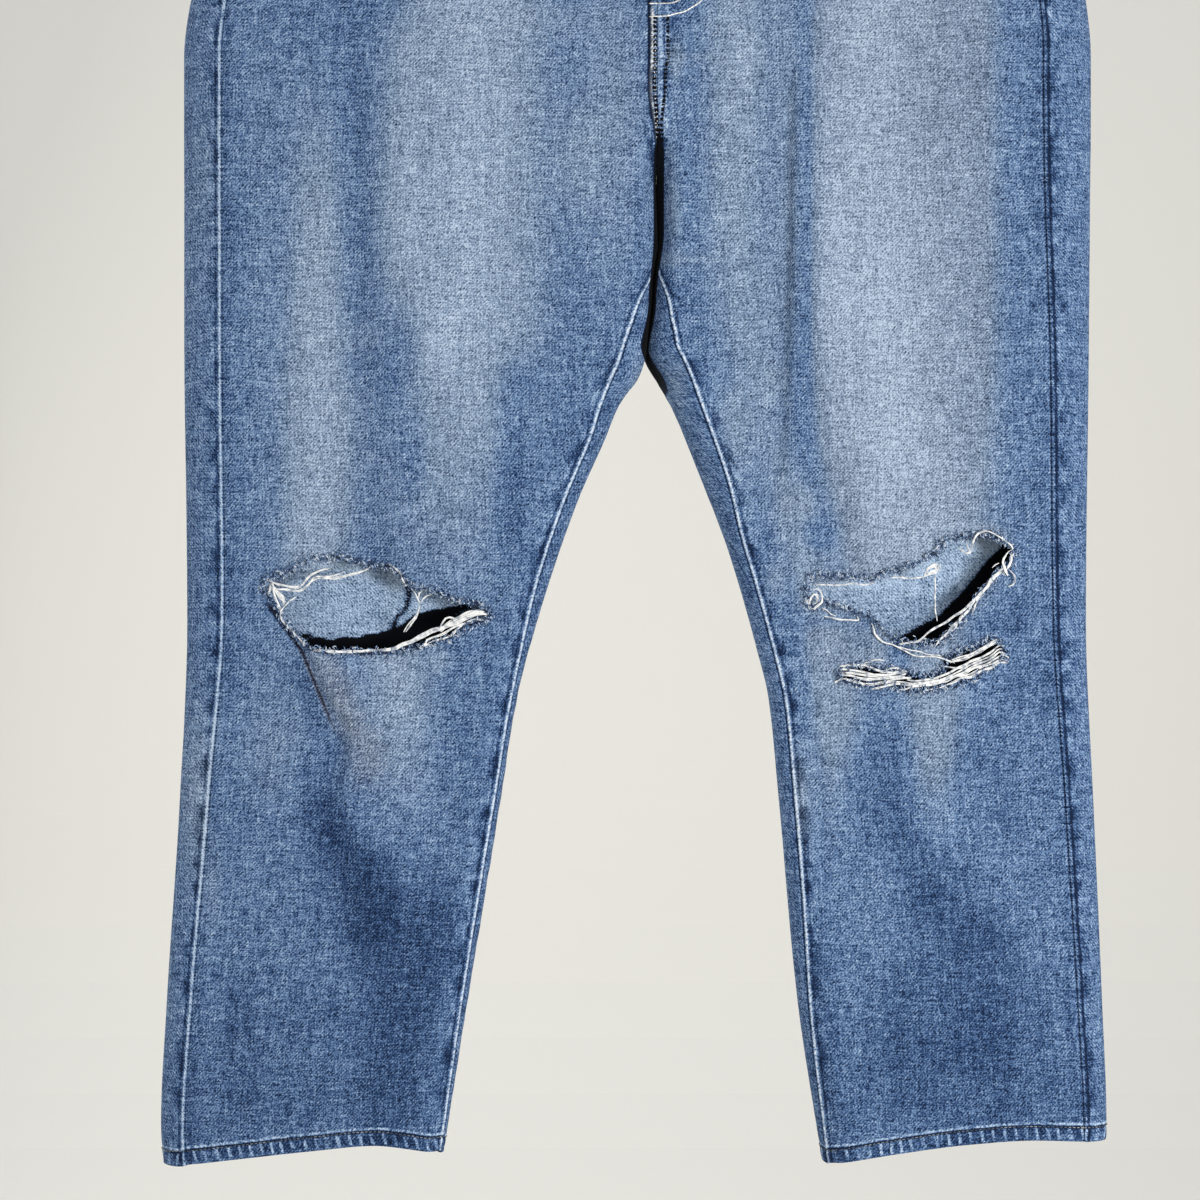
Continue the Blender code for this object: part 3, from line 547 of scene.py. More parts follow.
def seamWearAndShadow(look, wearAndShade, x, drop, beside, leg):
    # a worn white ridge with a painted shadow and dark puckers beside it on one edge, and a groove on the
    # other
    s = seamMarks
    ridgeSide, grooveSide = look.map("sides")
    leftmost = beside.rise(*s["leftOutseam"])
    worn = patchy(look, drop, 0.0, s["worn"]).rise(*s["bare"])
    outseam = beside.rise(*s["rightOutseam"]) * 0.14 - leftmost * 0.75
    wearAndShade = wearAndShade + ridgeSide.hump(*s["ridge"]) * (worn * 0.5 + 0.36 + outseam) * leg
    # painted shadow beside the ridge, stronger at the leftmost outseam
    wearAndShade = wearAndShade - ridgeSide.hump(*s["shadow"]) * 0.36 * (1 - leftmost)
    wearAndShade = wearAndShade - ridgeSide.hump(*s["leftShadow"]) * leftmost * 0.75
    wearAndShade = wearAndShade - ridgeSide.rise(*s["brink"]) * 0.2 * leg
    pucker = patchy(look, drop, ridgeSide, s["puckers"]) - 0.5
    wearAndShade = wearAndShade + ridgeSide.hump(*s["puckered"]) * (pucker * 1.7 - 0.06)
    wearAndShade = wearAndShade - grooveSide.hump(*s["groove"]) * 0.45 - grooveSide.hump(*s["flank"]) * 0.08
    wearAndShade = wearAndShade + grooveSide.hump(*s["ripple"]) * (patchy(look, drop, x, s["along"]) - 0.5) * 0.5
    inseam = (1 - leftmost) * beside.rise(*s["inseams"]) * leg
    return wearAndShade, ridgeSide.hump(*s["piping"]) * worn * 0.34 * inseam


# Wear on the hems: its patches, and its marks (height above the hem's edge, half width).
hemMarks = {
    "barPitch": 7.6, "slant": 0.2, "bar": (0.3, 0.98), "wander": (21, 1, 1.7, 0.0), "strays": 5,
    "uneven": (7, 6, 4.4, 0.0), "lint": (3, 3, 2.9, 1.0), "foldPatches": (4, 1, 5.1, 1.0),
    "band": ((0.6, 1.8), (9.4, 8.0)), "stitches": (9.7, 1.5), "frayed": (11.7, 1.6), "fold": (1.5, 0.4),
}


def hemWear(look, wearAndShade, x, drop, high):
    # roped bars in the band, a frayed pale line just above the stitches
    h = hemMarks
    wander = patchy(look, x, 0.0, h["wander"]) * h["strays"]
    bars = ((x + high * h["slant"]) * (2 * pi / h["barPitch"]) + wander).maths("SINE").rise(*h["bar"])
    inBand = high.rise(*h["band"][0]) * high.rise(*h["band"][1])
    uneven = patchy(look, x, high, h["uneven"]).rise(0.3, 0.6) * 0.9 + 0.35
    wearAndShade = wearAndShade + inBand * (bars * 0.64 - 0.22) * uneven - high.hump(*h["stitches"]) * 0.9
    frayed = patchy(look, x, drop, h["lint"]).rise(0.3, 0.62)
    wearAndShade = wearAndShade + high.hump(*h["frayed"]) * (frayed * 0.5 + 0.2)
    return wearAndShade + high.rise(*h["fold"]) * (patchy(look, x, 0.0, h["foldPatches"]) - 0.62) * 0.9


# The crease below the right knee: where it starts (across), its legs (drop, drop, step inwards), and the
# colour of the painted shade on its flank.
crease = {
    "start": 264.8, "legs": ((587, 619, 23.2), (619, 642.6, 9.7), (642.6, 667, 9.5), (667, 684, 10.5)),
    "flankShade": ((0.0, (26, 25, 30)), (0.46, (92, 88, 90)), (0.8, (140, 138, 140)), (1.0, (176, 174, 174))),
}


def creaseShading(look, wearAndShade, beside, fall):
    # painted shadow along a sharp crease running down from the torn knee, and painted brownish shade on its
    # inner flank
    line = beside * -1
    for start, end, shift in crease["legs"]:
        line = line + look.add("ShaderNodeMapRange", {},
                               {"Value": fall, "From Min": start, "From Max": end}) * shift
    line = line - crease["start"]
    top = crease["legs"][0][0]
    reach = 4.2 - fall.rise(top, top + 44) * 2.6
    shown = fall.rise(top - 3, top + 3) * (1 - fall.rise(top + 62, top + 98))
    wearAndShade = wearAndShade - (line / reach).hump(0.0, 1.0) * shown * (1.15 - fall.rise(top + 20, top + 46) * 0.5)
    wearAndShade = wearAndShade + line.hump(-12, 14) * fall.rise(600, 630) * fall.rise(712, 680) * 0.06
    wearAndShade = wearAndShade - line.hump(8, 12) * fall.rise(606, 650) * fall.rise(704, 676) * 0.1
    flankShade = line.hump(-14, 22) * fall.rise(596, 640) * fall.rise(724, 690) * 0.34
    return wearAndShade, flankShade + line.hump(0.0, 2.6) * shown * 0.6


# Where one dye gives way to the next: by how faded the cloth is, then by x, drop and depth.
dyeing = {
    "faded": (0.4, 0.7), "leftFaded": (0.42, 0.62), "leftLeg": (70, 118), "rubbed": (0.36, 0.66),
    "thigh": (84, 146), "outer": (160, 215), "knee": (650, 560), "front": (4, -4),
}


def fadeTones(look, place, fade, beside, fall, depth):
    # fresh, faded and greyed indigo, by how faded the cloth is and where
    d = dyeing
    share = fade.rise(*d["faded"]) + beside.rise(*d["leftLeg"]) * fade.rise(*d["leftFaded"]) * 0.5
    colour = blend(look, share, ramp(look, place, denim["fresh"]), ramp(look, place, denim["faded"]))
    greyed = beside.rise(*d["thigh"]) * fade.rise(*d["rubbed"]) * (0.7 - beside.rise(*d["outer"]) * 0.3)
    greyed = greyed * fall.rise(*d["knee"]) * depth.rise(*d["front"])
    return blend(look, greyed, colour, ramp(look, place, denim["greyed"]))


def outerDenim(name, creased=False):
    d = denim
    look = Look(name, Roughness=d["roughness"], Sheen_Weight=0.02, Sheen_Roughness=0.6,
                Specular_IOR_Level=d["shine"])
    x, drop = look.map("weave")
    # the fade read here carries painted shading as well
    high, fade = look.map("ends")
    fade = fade / 1000
    height = weave(look, x, drop)
    # tone index: wear, to which painted shadows and shade are added below
    wearAndShade = fade + height + mark(look, x, drop, "mottle") * fade.rise(0.75, 0.4)
    for kind in ("cloud", "slub", "streak"):
        wearAndShade = wearAndShade + mark(look, x, drop, kind)

    where = look.add("ShaderNodeTexCoord", {}, {}, "Object")
    beside, depth, fall = look.part(where, 0), look.part(where, 1), look.part(where, 2, -1000)
    wearAndShade, holes, pale = riseWearAndShadow(look, wearAndShade, beside, fall)
    # painted shadow: the cleft between the legs is darkened towards near-black
    inside = paintedCleftShadow(beside, fall, depth)
    wearAndShade = wearAndShade - inside * 3
    leg = 1 - fall.rise(292, 270) * beside.maths("ABSOLUTE").rise(16, 13)
    wearAndShade, piping = seamWearAndShadow(look, wearAndShade, x, drop, beside, leg)
    wearAndShade = hemWear(look, wearAndShade, x, drop, high)
    # painted shadow and shade of the crease below the right knee
    if creased:
        wearAndShade, flankShade = creaseShading(look, wearAndShade, beside, fall)

    place = (wearAndShade - d["lowest"]) / d["span"]
    colour = fadeTones(look, place, fade, beside, fall, depth)
    colour = blend(look, pale.maths("MAXIMUM", piping), colour, ramp(look, place, d["bare"]))
    # needle holes, and the painted shadow in the cleft, in near-black
    colour = blend(look, inside.maths("MAXIMUM", holes), colour, ramp(look, place, d["holeAndShadow"]))
    # painted brownish shade on the crease's flank
    if creased:
        colour = blend(look, flankShade, colour, ramp(look, place, crease["flankShade"]))
    return look.coat(Base_Color=colour, Normal=look.bump(height, d["relief"], 0.9))


# the reverse's colours, down to near-black for the painted shadow inside the rips
reverseToneAndShade = ((0.0, (6, 7, 12)), (0.2, (32, 44, 66)), (0.45, (94, 116, 144)), (0.72, (138, 158, 182)),
              (1.0, (184, 204, 226)))


def innerDenim(name):
    look = Look(name, Roughness=denim["roughness"], Specular_IOR_Level=denim["shine"])
    x, drop = look.map("weave")
    height = weave(look, x, drop, -1.0)
    shadow = look.map("ends")[1] / 1000
    wearAndShade = shadow + height * 0.75 + mark(look, x, drop, "shade")
    return look.coat(Base_Color=ramp(look, wearAndShade, reverseToneAndShade), Normal=look.bump(height, 0.0004, 0.8))


def speckled(look, scale, stops, detail=1.0):
    # colours scattered by a fine noise over the piece
    where = look.add("ShaderNodeTexCoord", {}, {}, "Object")
    speck = look.add("ShaderNodeTexNoise", {}, {"Vector": where, "Scale": scale, "Detail": detail})
    look.coat(Base_Color=ramp(look, speck, stops))
    return speck


def rawEdge(name):
    look = Look(name, Roughness=denim["roughness"])
    speckled(look, 900.0, ((0.35, (40, 58, 92)), (0.5, (112, 132, 162)), (0.65, (200, 206, 214))))
    return look.material


def bareWeft(name):
    look = Look(name, Roughness=0.9, Sheen_Weight=0.1)
    speckled(look, 300.0, ((0.32, (146, 150, 158)), (0.47, (200, 201, 200)), (0.68, (232, 230, 226))))
    return look.material


def frayedYarn(name):
    # short ends of blue warp and bare weft together
    look = Look(name, Roughness=0.9)
    speckled(look, 420.0, ((0.36, (10, 22, 48)), (0.44, (34, 58, 100)), (0.5, (88, 118, 160)),
                           (0.57, (144, 170, 200)), (0.65, (214, 219, 224))))
    return look.material


def topstitch(name, *tones):
    look = Look(name, Roughness=0.75)
    speckled(look, 160.0, tuple(zip((0.35, 0.5, 0.65), tones)))
    return look.material


def wornBrass(name):
    look = Look(name, Metallic=1.0)
    tint = speckled(look, 500.0, ((0.3, (118, 92, 60)), (0.6, (184, 150, 104))), 2.0)
    return look.coat(Roughness=tint * 0.4 + 0.2)


finish = {"thread": topstitch("cream thread", (168, 160, 146), (208, 201, 188), (228, 222, 210)),
          "flyThread": topstitch("pale thread", (176, 173, 168), (214, 211, 205), (232, 230, 224)),
          "hemThread": topstitch("grey thread", (50, 56, 64), (84, 90, 95), (142, 145, 144)),
          "darkThread": topstitch("dark thread", (14, 20, 36), (26, 36, 56), (70, 82, 100)),
          "brass": wornBrass("worn brass"),
          "outer": outerDenim("faded denim"), "creased": outerDenim("creased denim", True),
          "inner": innerDenim("denim reverse"), "raw": rawEdge("raw denim edge"),
          "weft": bareWeft("bare weft"), "frayed": frayedYarn("frayed yarn")}
print("materials mixed")


def makeCloth(name, outer, inner, maps, hemRows=0, innerShade=None, face="outer"):
    # closed sheet between two equal grids of points: slot 0 is the raw edge, 1 the face, 2 the reverse
    rows, columns = outer.shape[:2]
    count = rows * columns
    index = np.arange(count).reshape(rows, columns)
    quads = np.stack([index[:-1, :-1], index[:-1, 1:], index[1:, 1:], index[1:, :-1]], axis=2)
    sheet = quads.reshape(-1, 4)
    border = np.concatenate([index[0, :-1], index[:-1, -1], index[-1, :0:-1], index[:0:-1, 0]])
    onward = np.roll(border, -1)
    rim = np.stack([onward, border, border + count, onward + count], axis=1)
    faces = np.concatenate([sheet, sheet[:, ::-1] + count, rim])
    points = np.concatenate([outer.reshape(-1, 3), inner.reshape(-1, 3)]) * mm
    a, b, c = (points[sheet[:, i]] - points.mean(axis=0) for i in (0, 1, 2))
    normal = np.cross(b - a, c - a).sum(axis=0)
    middle = (outer - inner).reshape(-1, 3).sum(axis=0)
    if normal @ middle < 0:
        faces = faces[:, ::-1]
    piece = addMesh(name, points, [], faces.tolist(), "raw", face, "inner")
    mesh = piece.data
    slots = np.concatenate([np.full(len(sheet), 1), np.full(len(sheet), 2), np.zeros(len(rim), int)])
    if hemRows:
        turned = np.zeros((rows - 1, columns - 1), int)
        turned[-hemRows:] = 1
        slots[len(sheet):2 * len(sheet)] -= turned.reshape(-1)
        slots[2 * len(sheet):] = 1
    mesh.polygons.foreach_set("material_index", slots)
    mesh.polygons.foreach_set("use_smooth", np.ones(len(faces), bool))
    corner = np.empty(len(mesh.loops), int)
    mesh.loops.foreach_get("vertex_index", corner)
    for mapName, values in maps.items():
        flat = np.stack([np.broadcast_to(v, (rows, columns)).reshape(-1) for v in values], axis=1)
        flat = np.concatenate([flat, flat]) * mm
        if mapName == "ends" and innerShade is not None:
            flat[count:, 1] = innerShade.reshape(-1)
        layer = mesh.uv_layers.new(name=mapName)
        layer.data.foreach_set("uv", flat[corner].reshape(-1))
    mesh.update()
    down, onwards = np.diff(outer, axis=0), np.diff(outer, axis=1)
    return piece


# How faded each wall is, with painted shading of folds and the torn knees mixed in. Bands are (drop, across,
# amount, reachIn, reachOut), spots (drop, across, amount, half width, half height); 0 is fresh indigo and 1
# nearly white.
fadesAndShading = {
    (-1, "front"): {"base": 0.40, "bands": (
        ((60, 120, .15, 70, 60), (110, 128, .30, 90, 60), (176, 131, .40, 92, 56), (312, 131, .42, 92, 54),
         (380, 131, .42, 88, 54), (448, 134, .32, 80, 60), (516, 141, .2, 70, 70), (620, 141, 0, 70, 70)),
        ((190, 232, 0, 26, 26), (244, 232, .1, 28, 28), (312, 230, .26, 30, 30), (380, 230, .32, 32, 32),
         (448, 232, .36, 34, 34), (516, 232, .36, 36, 34), (560, 234, .3, 40, 34), (610, 236, 0, 36, 30)),
        ((60, 30, .05, 36, 40), (176, 28, .12, 40, 45), (250, 28, .18, 40, 44), (330, 30, .12, 40, 40),
         (420, 40, 0, 40, 40)),
        ((590, 178, 0, 40, 44), (611, 178, .28, 40, 44), (645, 176, .28, 42, 42), (686, 176, .2, 42, 40),
         (720, 172, .1, 40, 36), (752, 168, 0, 40, 36)),
        ((680, 240, 0, 24, 24), (715, 236, -.14, 28, 26), (740, 222, -.22, 34, 30), (765, 200, -.34, 36, 34),
         (790, 188, -.38, 36, 34), (825, 172, -.26, 34, 34), (860, 166, -.2, 32, 34),
         (900, 166, -.1, 32, 40), (960, 170, 0, 32, 40)),
        ((180, 172, .06, 30, 30), (217, 173, .2, 30, 28), (353, 173, .2, 28, 28), (410, 173, 0, 26, 26)),
        ((190, 270, .04, 36, 30), (250, 268, .08, 40, 30), (516, 262, .07, 40, 30), (600, 262, .04, 40, 30),
         (680, 262, .1, 40, 40), (740, 262, 0, 40, 40)),
        ((434, 97, 0, 18, 20), (465, 97, -.14, 18, 20), (530, 97, -.16, 18, 20), (575, 97, 0, 18, 20)),
        ((420, 200, 0, 22, 26), (461, 206, .12, 24, 30), (516, 206, .08, 24, 30), (560, 206, 0, 24, 30)),
        ((625, 218, 0, 22, 22), (640, 218, .12, 22, 22), (665, 213, .1, 20, 20), (690, 210, 0, 20, 20)),
        ((760, 148, 0, 20, 24), (795, 147, -.22, 22, 24), (835, 147, -.16, 24, 24), (870, 150, 0, 24, 24)),
        ((770, 210, 0, 24, 24), (806, 204, -.2, 26, 22), (830, 198, -.16, 30, 24), (900, 178, -.12, 36, 34),
         (960, 178, -.12, 36, 34)),
    ), "spots": (
        (940, 240, -.1, 300, 130), (700, 240, .06, 70, 60), (325, 172, .1, 34, 110), (285, 54, .13, 26, 60),
        (434, 104, -.08, 24, 50), (488, 165, -.12, 16, 44), (745, 224, -.16, 26, 95),
        (870, 284, -.13, 26, 75), (800, 155, -.1, 26, 85), (775, 304, .13, 14, 66), (510, 300, .1, 12, 66),
        (407, 147, .16, 18, 44), (434, 22, .14, 16, 24), (625, 147, .16, 14, 16), (625, 225, .15, 20, 14),
        (815, 198, -.14, 20, 26), (920, 198, -.11, 20, 50), (924, 284, -.12, 24, 26),
        (407, 198, .1, 30, 24), (434, 90, -.1, 24, 20), (870, 210, -.08, 60, 30), (190, 62, .06, 60, 20),
        (430, 303, .12, 10, 90), (650, 303, .1, 10, 80), (951, 181, -.1, 24, 8))},
    (1, "front"): {"base": 0.42, "bands": (
        ((60, 130, .18, 60, 90), (110, 134, .32, 50, 100), (176, 140, .38, 48, 104), (250, 140, .38, 42, 106),
         (345, 142, .44, 40, 108), (400, 146, .46, 44, 104), (448, 152, .46, 52, 98), (500, 160, .44, 56, 90),
         (560, 166, .34, 60, 84), (600, 170, .2, 70, 80), (640, 170, .1, 70, 80), (690, 170, 0, 70, 80)),
        ((80, 50, .1, 34, 30), (176, 53, .24, 36, 32), (230, 53, .28, 36, 32), (312, 53, .24, 36, 32),
         (380, 58, .2, 36, 32), (448, 68, .16, 30, 30), (516, 86, .14, 24, 30), (580, 104, .16, 20, 30),
         (640, 115, .2, 20, 34), (720, 122, .1, 20, 34), (790, 126, 0, 20, 34)),
        ((600, 189, 0, 22, 26), (630, 189, .2, 24, 28), (686, 189, .18, 24, 28), (730, 189, .05, 24, 28),
         (760, 189, 0, 24, 28)),
        ((640, 155, 0, 24, 20), (680, 155, -.14, 24, 20), (730, 158, -.16, 26, 26), (780, 190, -.2, 60, 60),
         (850, 200, -.2, 70, 80), (930, 200, -.1, 80, 80), (970, 200, 0, 80, 80)),
        ((180, 112, .04, 14, 24), (230, 113, .17, 14, 24), (300, 113, .22, 14, 24), (380, 114, .3, 15, 24),
         (434, 116, .24, 16, 26), (480, 120, .14, 20, 26), (530, 124, 0, 20, 26)),
        ((176, 84, .12, 24, 20), (217, 86, .13, 24, 18), (380, 86, .12, 24, 18), (434, 84, 0, 24, 18)),
        ((176, 214, .12, 30, 30), (400, 214, .12, 28, 28), (470, 216, .06, 28, 28), (540, 216, 0, 28, 28)),
        ((430, 46, 0, 16, 18), (465, 50, .18, 16, 20), (500, 56, .1, 16, 20), (540, 66, 0, 16, 20)),
        ((820, 250, 0, 60, 60), (870, 250, -.12, 60, 60), (970, 250, -.14, 70, 60)),
        ((800, 108, 0, 16, 24), (850, 112, -.16, 16, 24), (900, 118, -.12, 18, 26), (960, 124, -.1, 20, 26)),
    ), "spots": (
        (960, 200, -.05, 300, 110), (720, 244, -.06, 60, 120), (790, 166, .08, 60, 70),
        (720, 97, .16, 16, 64), (620, 165, -.16, 14, 24), (545, 205, .16, 44, 20), (880, 165, -.13, 42, 75),
        (735, 131, -.07, 18, 95), (217, 12, .2, 10, 24), (245, 12, .08, 8, 60), (434, 14, .14, 12, 24),
        (217, 63, .14, 14, 24), (434, 80, .13, 16, 24), (540, 110, -.12, 18, 16), (570, 80, .15, 14, 20),
        (625, 199, .2, 14, 14), (571, 218, .12, 14, 12), (598, 247, -.2, 12, 24), (598, 145, -.1, 16, 12),
        (625, 145, .12, 16, 12), (790, 182, -.16, 22, 30), (815, 224, -.11, 34, 30),
        (924, 175, -.1, 40, 24), (183, 14, -.2, 6, 14), (217, 12, .1, 70, 6), (353, 12, .14, 40, 8),
        (517, 97, .1, 20, 20), (598, 110, -.1, 30, 12), (640, 195, -.1, 14, 12), (880, 205, -.08, 60, 50),
        (600, 231, -.1, 30, 16), (640, 255, -.1, 60, 20), (980, 210, -.06, 60, 60), (320, 12, .13, 8, 50),
        (543, 225, .14, 22, 14), (865, 190, .09, 45, 36))},
    (-1, "back"): {"base": 0.40, "bands": (
        ((80, 130, .1, 80, 80), (200, 140, .36, 90, 90), (300, 140, .3, 90, 80), (420, 150, .2, 70, 70),
         (560, 190, .3, 60, 60), (660, 205, .16, 60, 60), (760, 210, 0, 60, 60)),
        ((700, 190, 0, 50, 50), (800, 200, -.16, 60, 60), (930, 220, -.14, 80, 80)),
    ), "spots": (
        (960, 240, -.08, 300, 80), (250, 130, .1, 70, 60), (434, 12, .14, 12, 30), (300, 306, .12, 24, 120),
        (720, 312, .22, 26, 110))},
    (1, "back"): {"base": 0.40, "bands": (
        ((80, 126, .1, 80, 80), (200, 136, .36, 90, 90), (300, 134, .3, 90, 80), (420, 140, .2, 70, 70),
         (560, 170, .3, 60, 60), (660, 186, .16, 60, 60), (760, 190, 0, 60, 60)),
        ((700, 170, 0, 50, 50), (800, 184, -.16, 60, 60), (930, 200, -.14, 80, 80)),
    ), "spots": (
        (960, 220, -.08, 300, 80), (250, 126, .1, 70, 60), (434, 14, .14, 12, 30))},
}


# Painted shade and painted light on the reverse of the back panels where it shows through the rips, about its
# base tone: bands and spots as above.
reverse = {
    "base": 0.7,
    (-1, "back"): {"bands": (
        ((572, 172, 0, 3, 3), (577, 171.5, -.7, 3.4, 3.4), (585, 172, -.75, 3.2, 3.4),
         (592.4, 175.5, -.75, 3.2, 4), (598, 180.5, -.75, 3, 4.2), (604, 181.5, -.75, 3, 5),
         (609, 179, -.6, 3, 6), (613, 177, 0, 3, 6)),
        ((542, 215, .2, 60, 60), (557, 215, .2, 60, 60), (564, 215, .06, 60, 60), (570, 215, 0, 60, 60)),
        ((606, 248, 0, 5, 6), (608.5, 244, -1, 6, 7), (610.5, 238.5, -1.5, 9, 9), (612, 233, -1.6, 14, 12),
         (614, 230, -1.6, 16, 20), (620, 226, -1.6, 20, 24)),
        ((586, 134, 0, 6, 5), (588, 132, -1.7, 8, 6), (590.6, 146.5, -1.7, 24, 8), (594.4, 161, -1.7, 42, 8),
         (600, 169, -1.7, 54, 8), (603.7, 175, -1.7, 64, 8), (606.6, 185, -1.7, 80, 8),
         (609.5, 199, -1.7, 100, 10), (611.5, 218, -1.7, 130, 10), (613, 232, -1.7, 150, 12),
         (630, 244, -1.7, 160, 12))),
        "spots": (
        (592, 205, -.06, 40, 26), (572, 230, -.06, 40, 20), (567, 173, .35, 17, 14))},
    (1, "back"): {"bands": (
        ((543, 245, 0, 5, 20), (549, 242, -1.7, 6, 40), (556, 235, -1.8, 6, 50), (567, 226, -1.8, 6, 60),
         (577.7, 217, -1.8, 6, 60), (588, 208, -1.8, 6.5, 60), (597, 199, -1.8, 7, 70),
         (601, 191.5, -1.8, 9, 80), (606, 183, -1.8, 11, 90), (612, 176, -1.8, 16, 100),
         (625, 170, -1.8, 30, 120)),
        ((566, 184, 0, 2, 2), (574, 184.5, -.22, 3, 3), (590, 185, -.18, 3, 3), (598, 185, 0, 3, 3))),
        "spots": (
        (640, 182, -1.6, 90, 26), (600, 178, -.12, 40, 20), (545, 231, .4, 22, 12), (573, 140, .2, 50, 8),
        (560, 186, .18, 34, 12))},
}


def reverseShadeAt(side, wall, drop, points):
    # base tone with painted shade and painted light
    r = reverse.get((side, wall), {"bands": (), "spots": ()})
    return reverse["base"] + bandSum(np.abs(points[..., 0]), drop, r["bands"], r["spots"])


def fadeAndShadeAt(side, wall, drop, points):
    f = fadesAndShading[side, wall]
    return f["base"] + bandSum(np.abs(points[..., 0]), drop, f["bands"], f["spots"])


def columnsAcross(start, end, edges, between):
    # runs across a panel: fixed distances from either seam, and even shares between them
    near = np.array(edges)
    share = np.linspace(0, 1, between + 2)[1:-1]
    first, last = start + near[-1], end - near[-1]
    return np.concatenate([start + near, first + (last - first) * share, end - near[::-1]], axis=1)


def waviness(x, drop, seed):
    # uneven, hand-sized waves for puckers, about 0
    s = 1.7 * seed
    return (np.sin(drop / 3.9 + s) * np.sin(drop / 9.7 + x / 37 + 2 * s) + 0.6 * np.sin(drop / 2.3 + 3 * s)
            * np.sin(drop / 14.1 + s)) / 1.4


panels = {
    "edges": (0, 0.5, 1.0, 1.7, 2.6, 3.8, 5.4, 7.4, 10), "frontColumns": 96, "backColumns": 104,
    "frontStep": 3.0, "backStep": 3.4, "lastLevel": 918.0, "joining": 30, "fine": (545, 622), "finer": 1.6,
    "yokeRows": 20, "noHem": 600, "turnedRows": 12,
    "hem": (20, 16.5, 14.2, 12.8, 12.4, 12.0, 11.2, 10.4, 9.4, 8.6, 7.4, 5.8, 4.0, 2.6, 1.4, 0.6, 0.15, 0),
    "ridge": 0.55, "pucker": 0.5, "groove": 0.45, "rope": 0.25, "ropePitch": 11.6,
    "lap": {"edge": 5.2, "rise": 1.5},
}


def panelDrops(top, hem, step):
    # rows (rows x columns): from the top line, level to the calf, then following the hem
    p, g = panels, garment
    lean = np.arange(0, 1, step / (g["levelRow"] - top.min()))[:, None]
    upper = top + (g["levelRow"] - top) * lean
    low, high = p["fine"]
    fine = (high - low) / round(p["finer"] * (high - low) / step)
    level = np.concatenate([np.arange(g["levelRow"], low - step / 2, step),
                            np.arange(low, high - fine / 2, fine),
                            np.arange(high, p["lastLevel"], step)])[:, None] + np.zeros_like(hem)
    above = hem - p["hem"][0]
    joining = np.linspace(0, 1, int(p["joining"] / step) + 1)[1:-1, None]
    lower = level[-1] + (above - level[-1]) * joining
    return np.concatenate([upper, level, lower, hem - np.array(p["hem"])[:, None]])


def riseLap(side, fromCentre, drop):
    # the left front laps over the right one down to the crotch, so both are raised beside the centre
    lap = panels["lap"]
    edge = lap["edge"] * (1 - 0.75 * ease((drop - 244) / 26))
    shape = ease((edge + 0.5 - fromCentre) / 0.8) if side < 0 else 1 - ease((fromCentre - 6) / 7)
    return lap["rise"] * shape * ease((drop - 40) / 20) * ease((274 - drop) / 24)


def layPanel(name, side, wall, yoke=False):
    g, p, skin = garment, panels, skins[side]
    front = wall == "front"
    columns = p["frontColumns"] if front else p["backColumns"]
    probe = np.linspace(0, 1, columns + 2 * len(p["edges"]))
    hem = skin.hem(probe if front else 1 + probe)
    top = np.full(len(probe), g["panelTop"])
    if not front:
        top = g["yokeAtSide"] + (g["yokeAtCentre"] - g["yokeAtSide"]) * probe + g["gap"] / 2
    drop = panelDrops(top, hem, p["frontStep"] if front else p["backStep"])
    if yoke:
        drop = g["panelTop"] + (top - g["gap"] - g["panelTop"]) * np.linspace(0, 1, p["yokeRows"])[:, None]
    seamGap = g["gap"] / 2 * ease((drop - (g["crotch"] - 20)) / 20)
    if front:
        starts = skin.seam(skin.frontStart, drop) + seamGap
        ends = skin.seam(skin.outseam, drop) - g["gap"] / 2
    else:
        starts = skin.seam(skin.outseam, drop) + g["gap"] / 2
        ends = skin.seam(skin.backEnd, drop) - seamGap
    middle = len(probe) // 2
    run = columnsAcross(starts[:, middle:middle + 1], ends[:, middle:middle + 1], p["edges"], columns)
    run = starts + (run - run[:, :1]) / (run[:, -1:] - run[:, :1]) * (ends - starts)
    ridgeSide, grooveSide = run - starts, ends - run
    high = hem - drop + (p["noHem"] if yoke else 0)
    fadeIn = ease((drop - 45) / 30)

    lift = p["ridge"] * crest(ridgeSide - 1.2, 2.2)
    lift = lift + p["pucker"] * crest(ridgeSide - 6, 6.5) * waviness(run, drop, 1 if front else 2) * fadeIn
    if front:
        lift = lift + riseLap(side, ridgeSide, drop)
    flush = side < 0 and front
    lift = lift - p["groove"] * (0.3 if flush else 1) * crest(grooveSide, 2.4)
    lift = lift + 0.25 * crest(grooveSide - 6, 7) * waviness(run, drop * 0.8, 3)
    rope = np.sin(2 * pi * (run + high * 0.5) / p["ropePitch"] + 1.1 * np.sin(run / 23))
    lift = lift + p["rope"] * (rope * crest(high - 5, 6.5)) - 0.5 * crest(high - 9.2, 1.6)
    wallHere = np.where(high <= g["hemDepth"] + 0.01, g["hemWall"], g["cloth"])
    outer = skin.at(drop, run, lift)
    inner = skin.at(drop, run, lift * 0.3 - wallHere)
    # fade, with painted shading of folds and the torn knees mixed in
    fade = fadeAndShadeAt(side, wall, drop, outer)
    grain = grooveSide if front else ridgeSide
    maps = {"weave": (-side * grain, drop), "sides": (ridgeSide, grooveSide + (1.6 if flush else 0)),
            "ends": (high, fade * 1000)}
    return makeCloth(name, outer, inner, maps, 0 if yoke else p["turnedRows"],
                     reverseShadeAt(side, wall, drop, inner), "creased" if flush else "outer")


made = {}


def keep(piece, node):
    # the piece stands for a node of the frame
    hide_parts(node)
    made[node] = attach(piece)


for side in (-1, 1):
    for wall in ("front", "back"):
        node = "%s_%s" % (wall, words[side])
        keep(layPanel(node + "_panel", side, wall), node)
    node = "yoke_" + words[side]
    keep(layPanel(node + "_panel", side, "back", True), node)


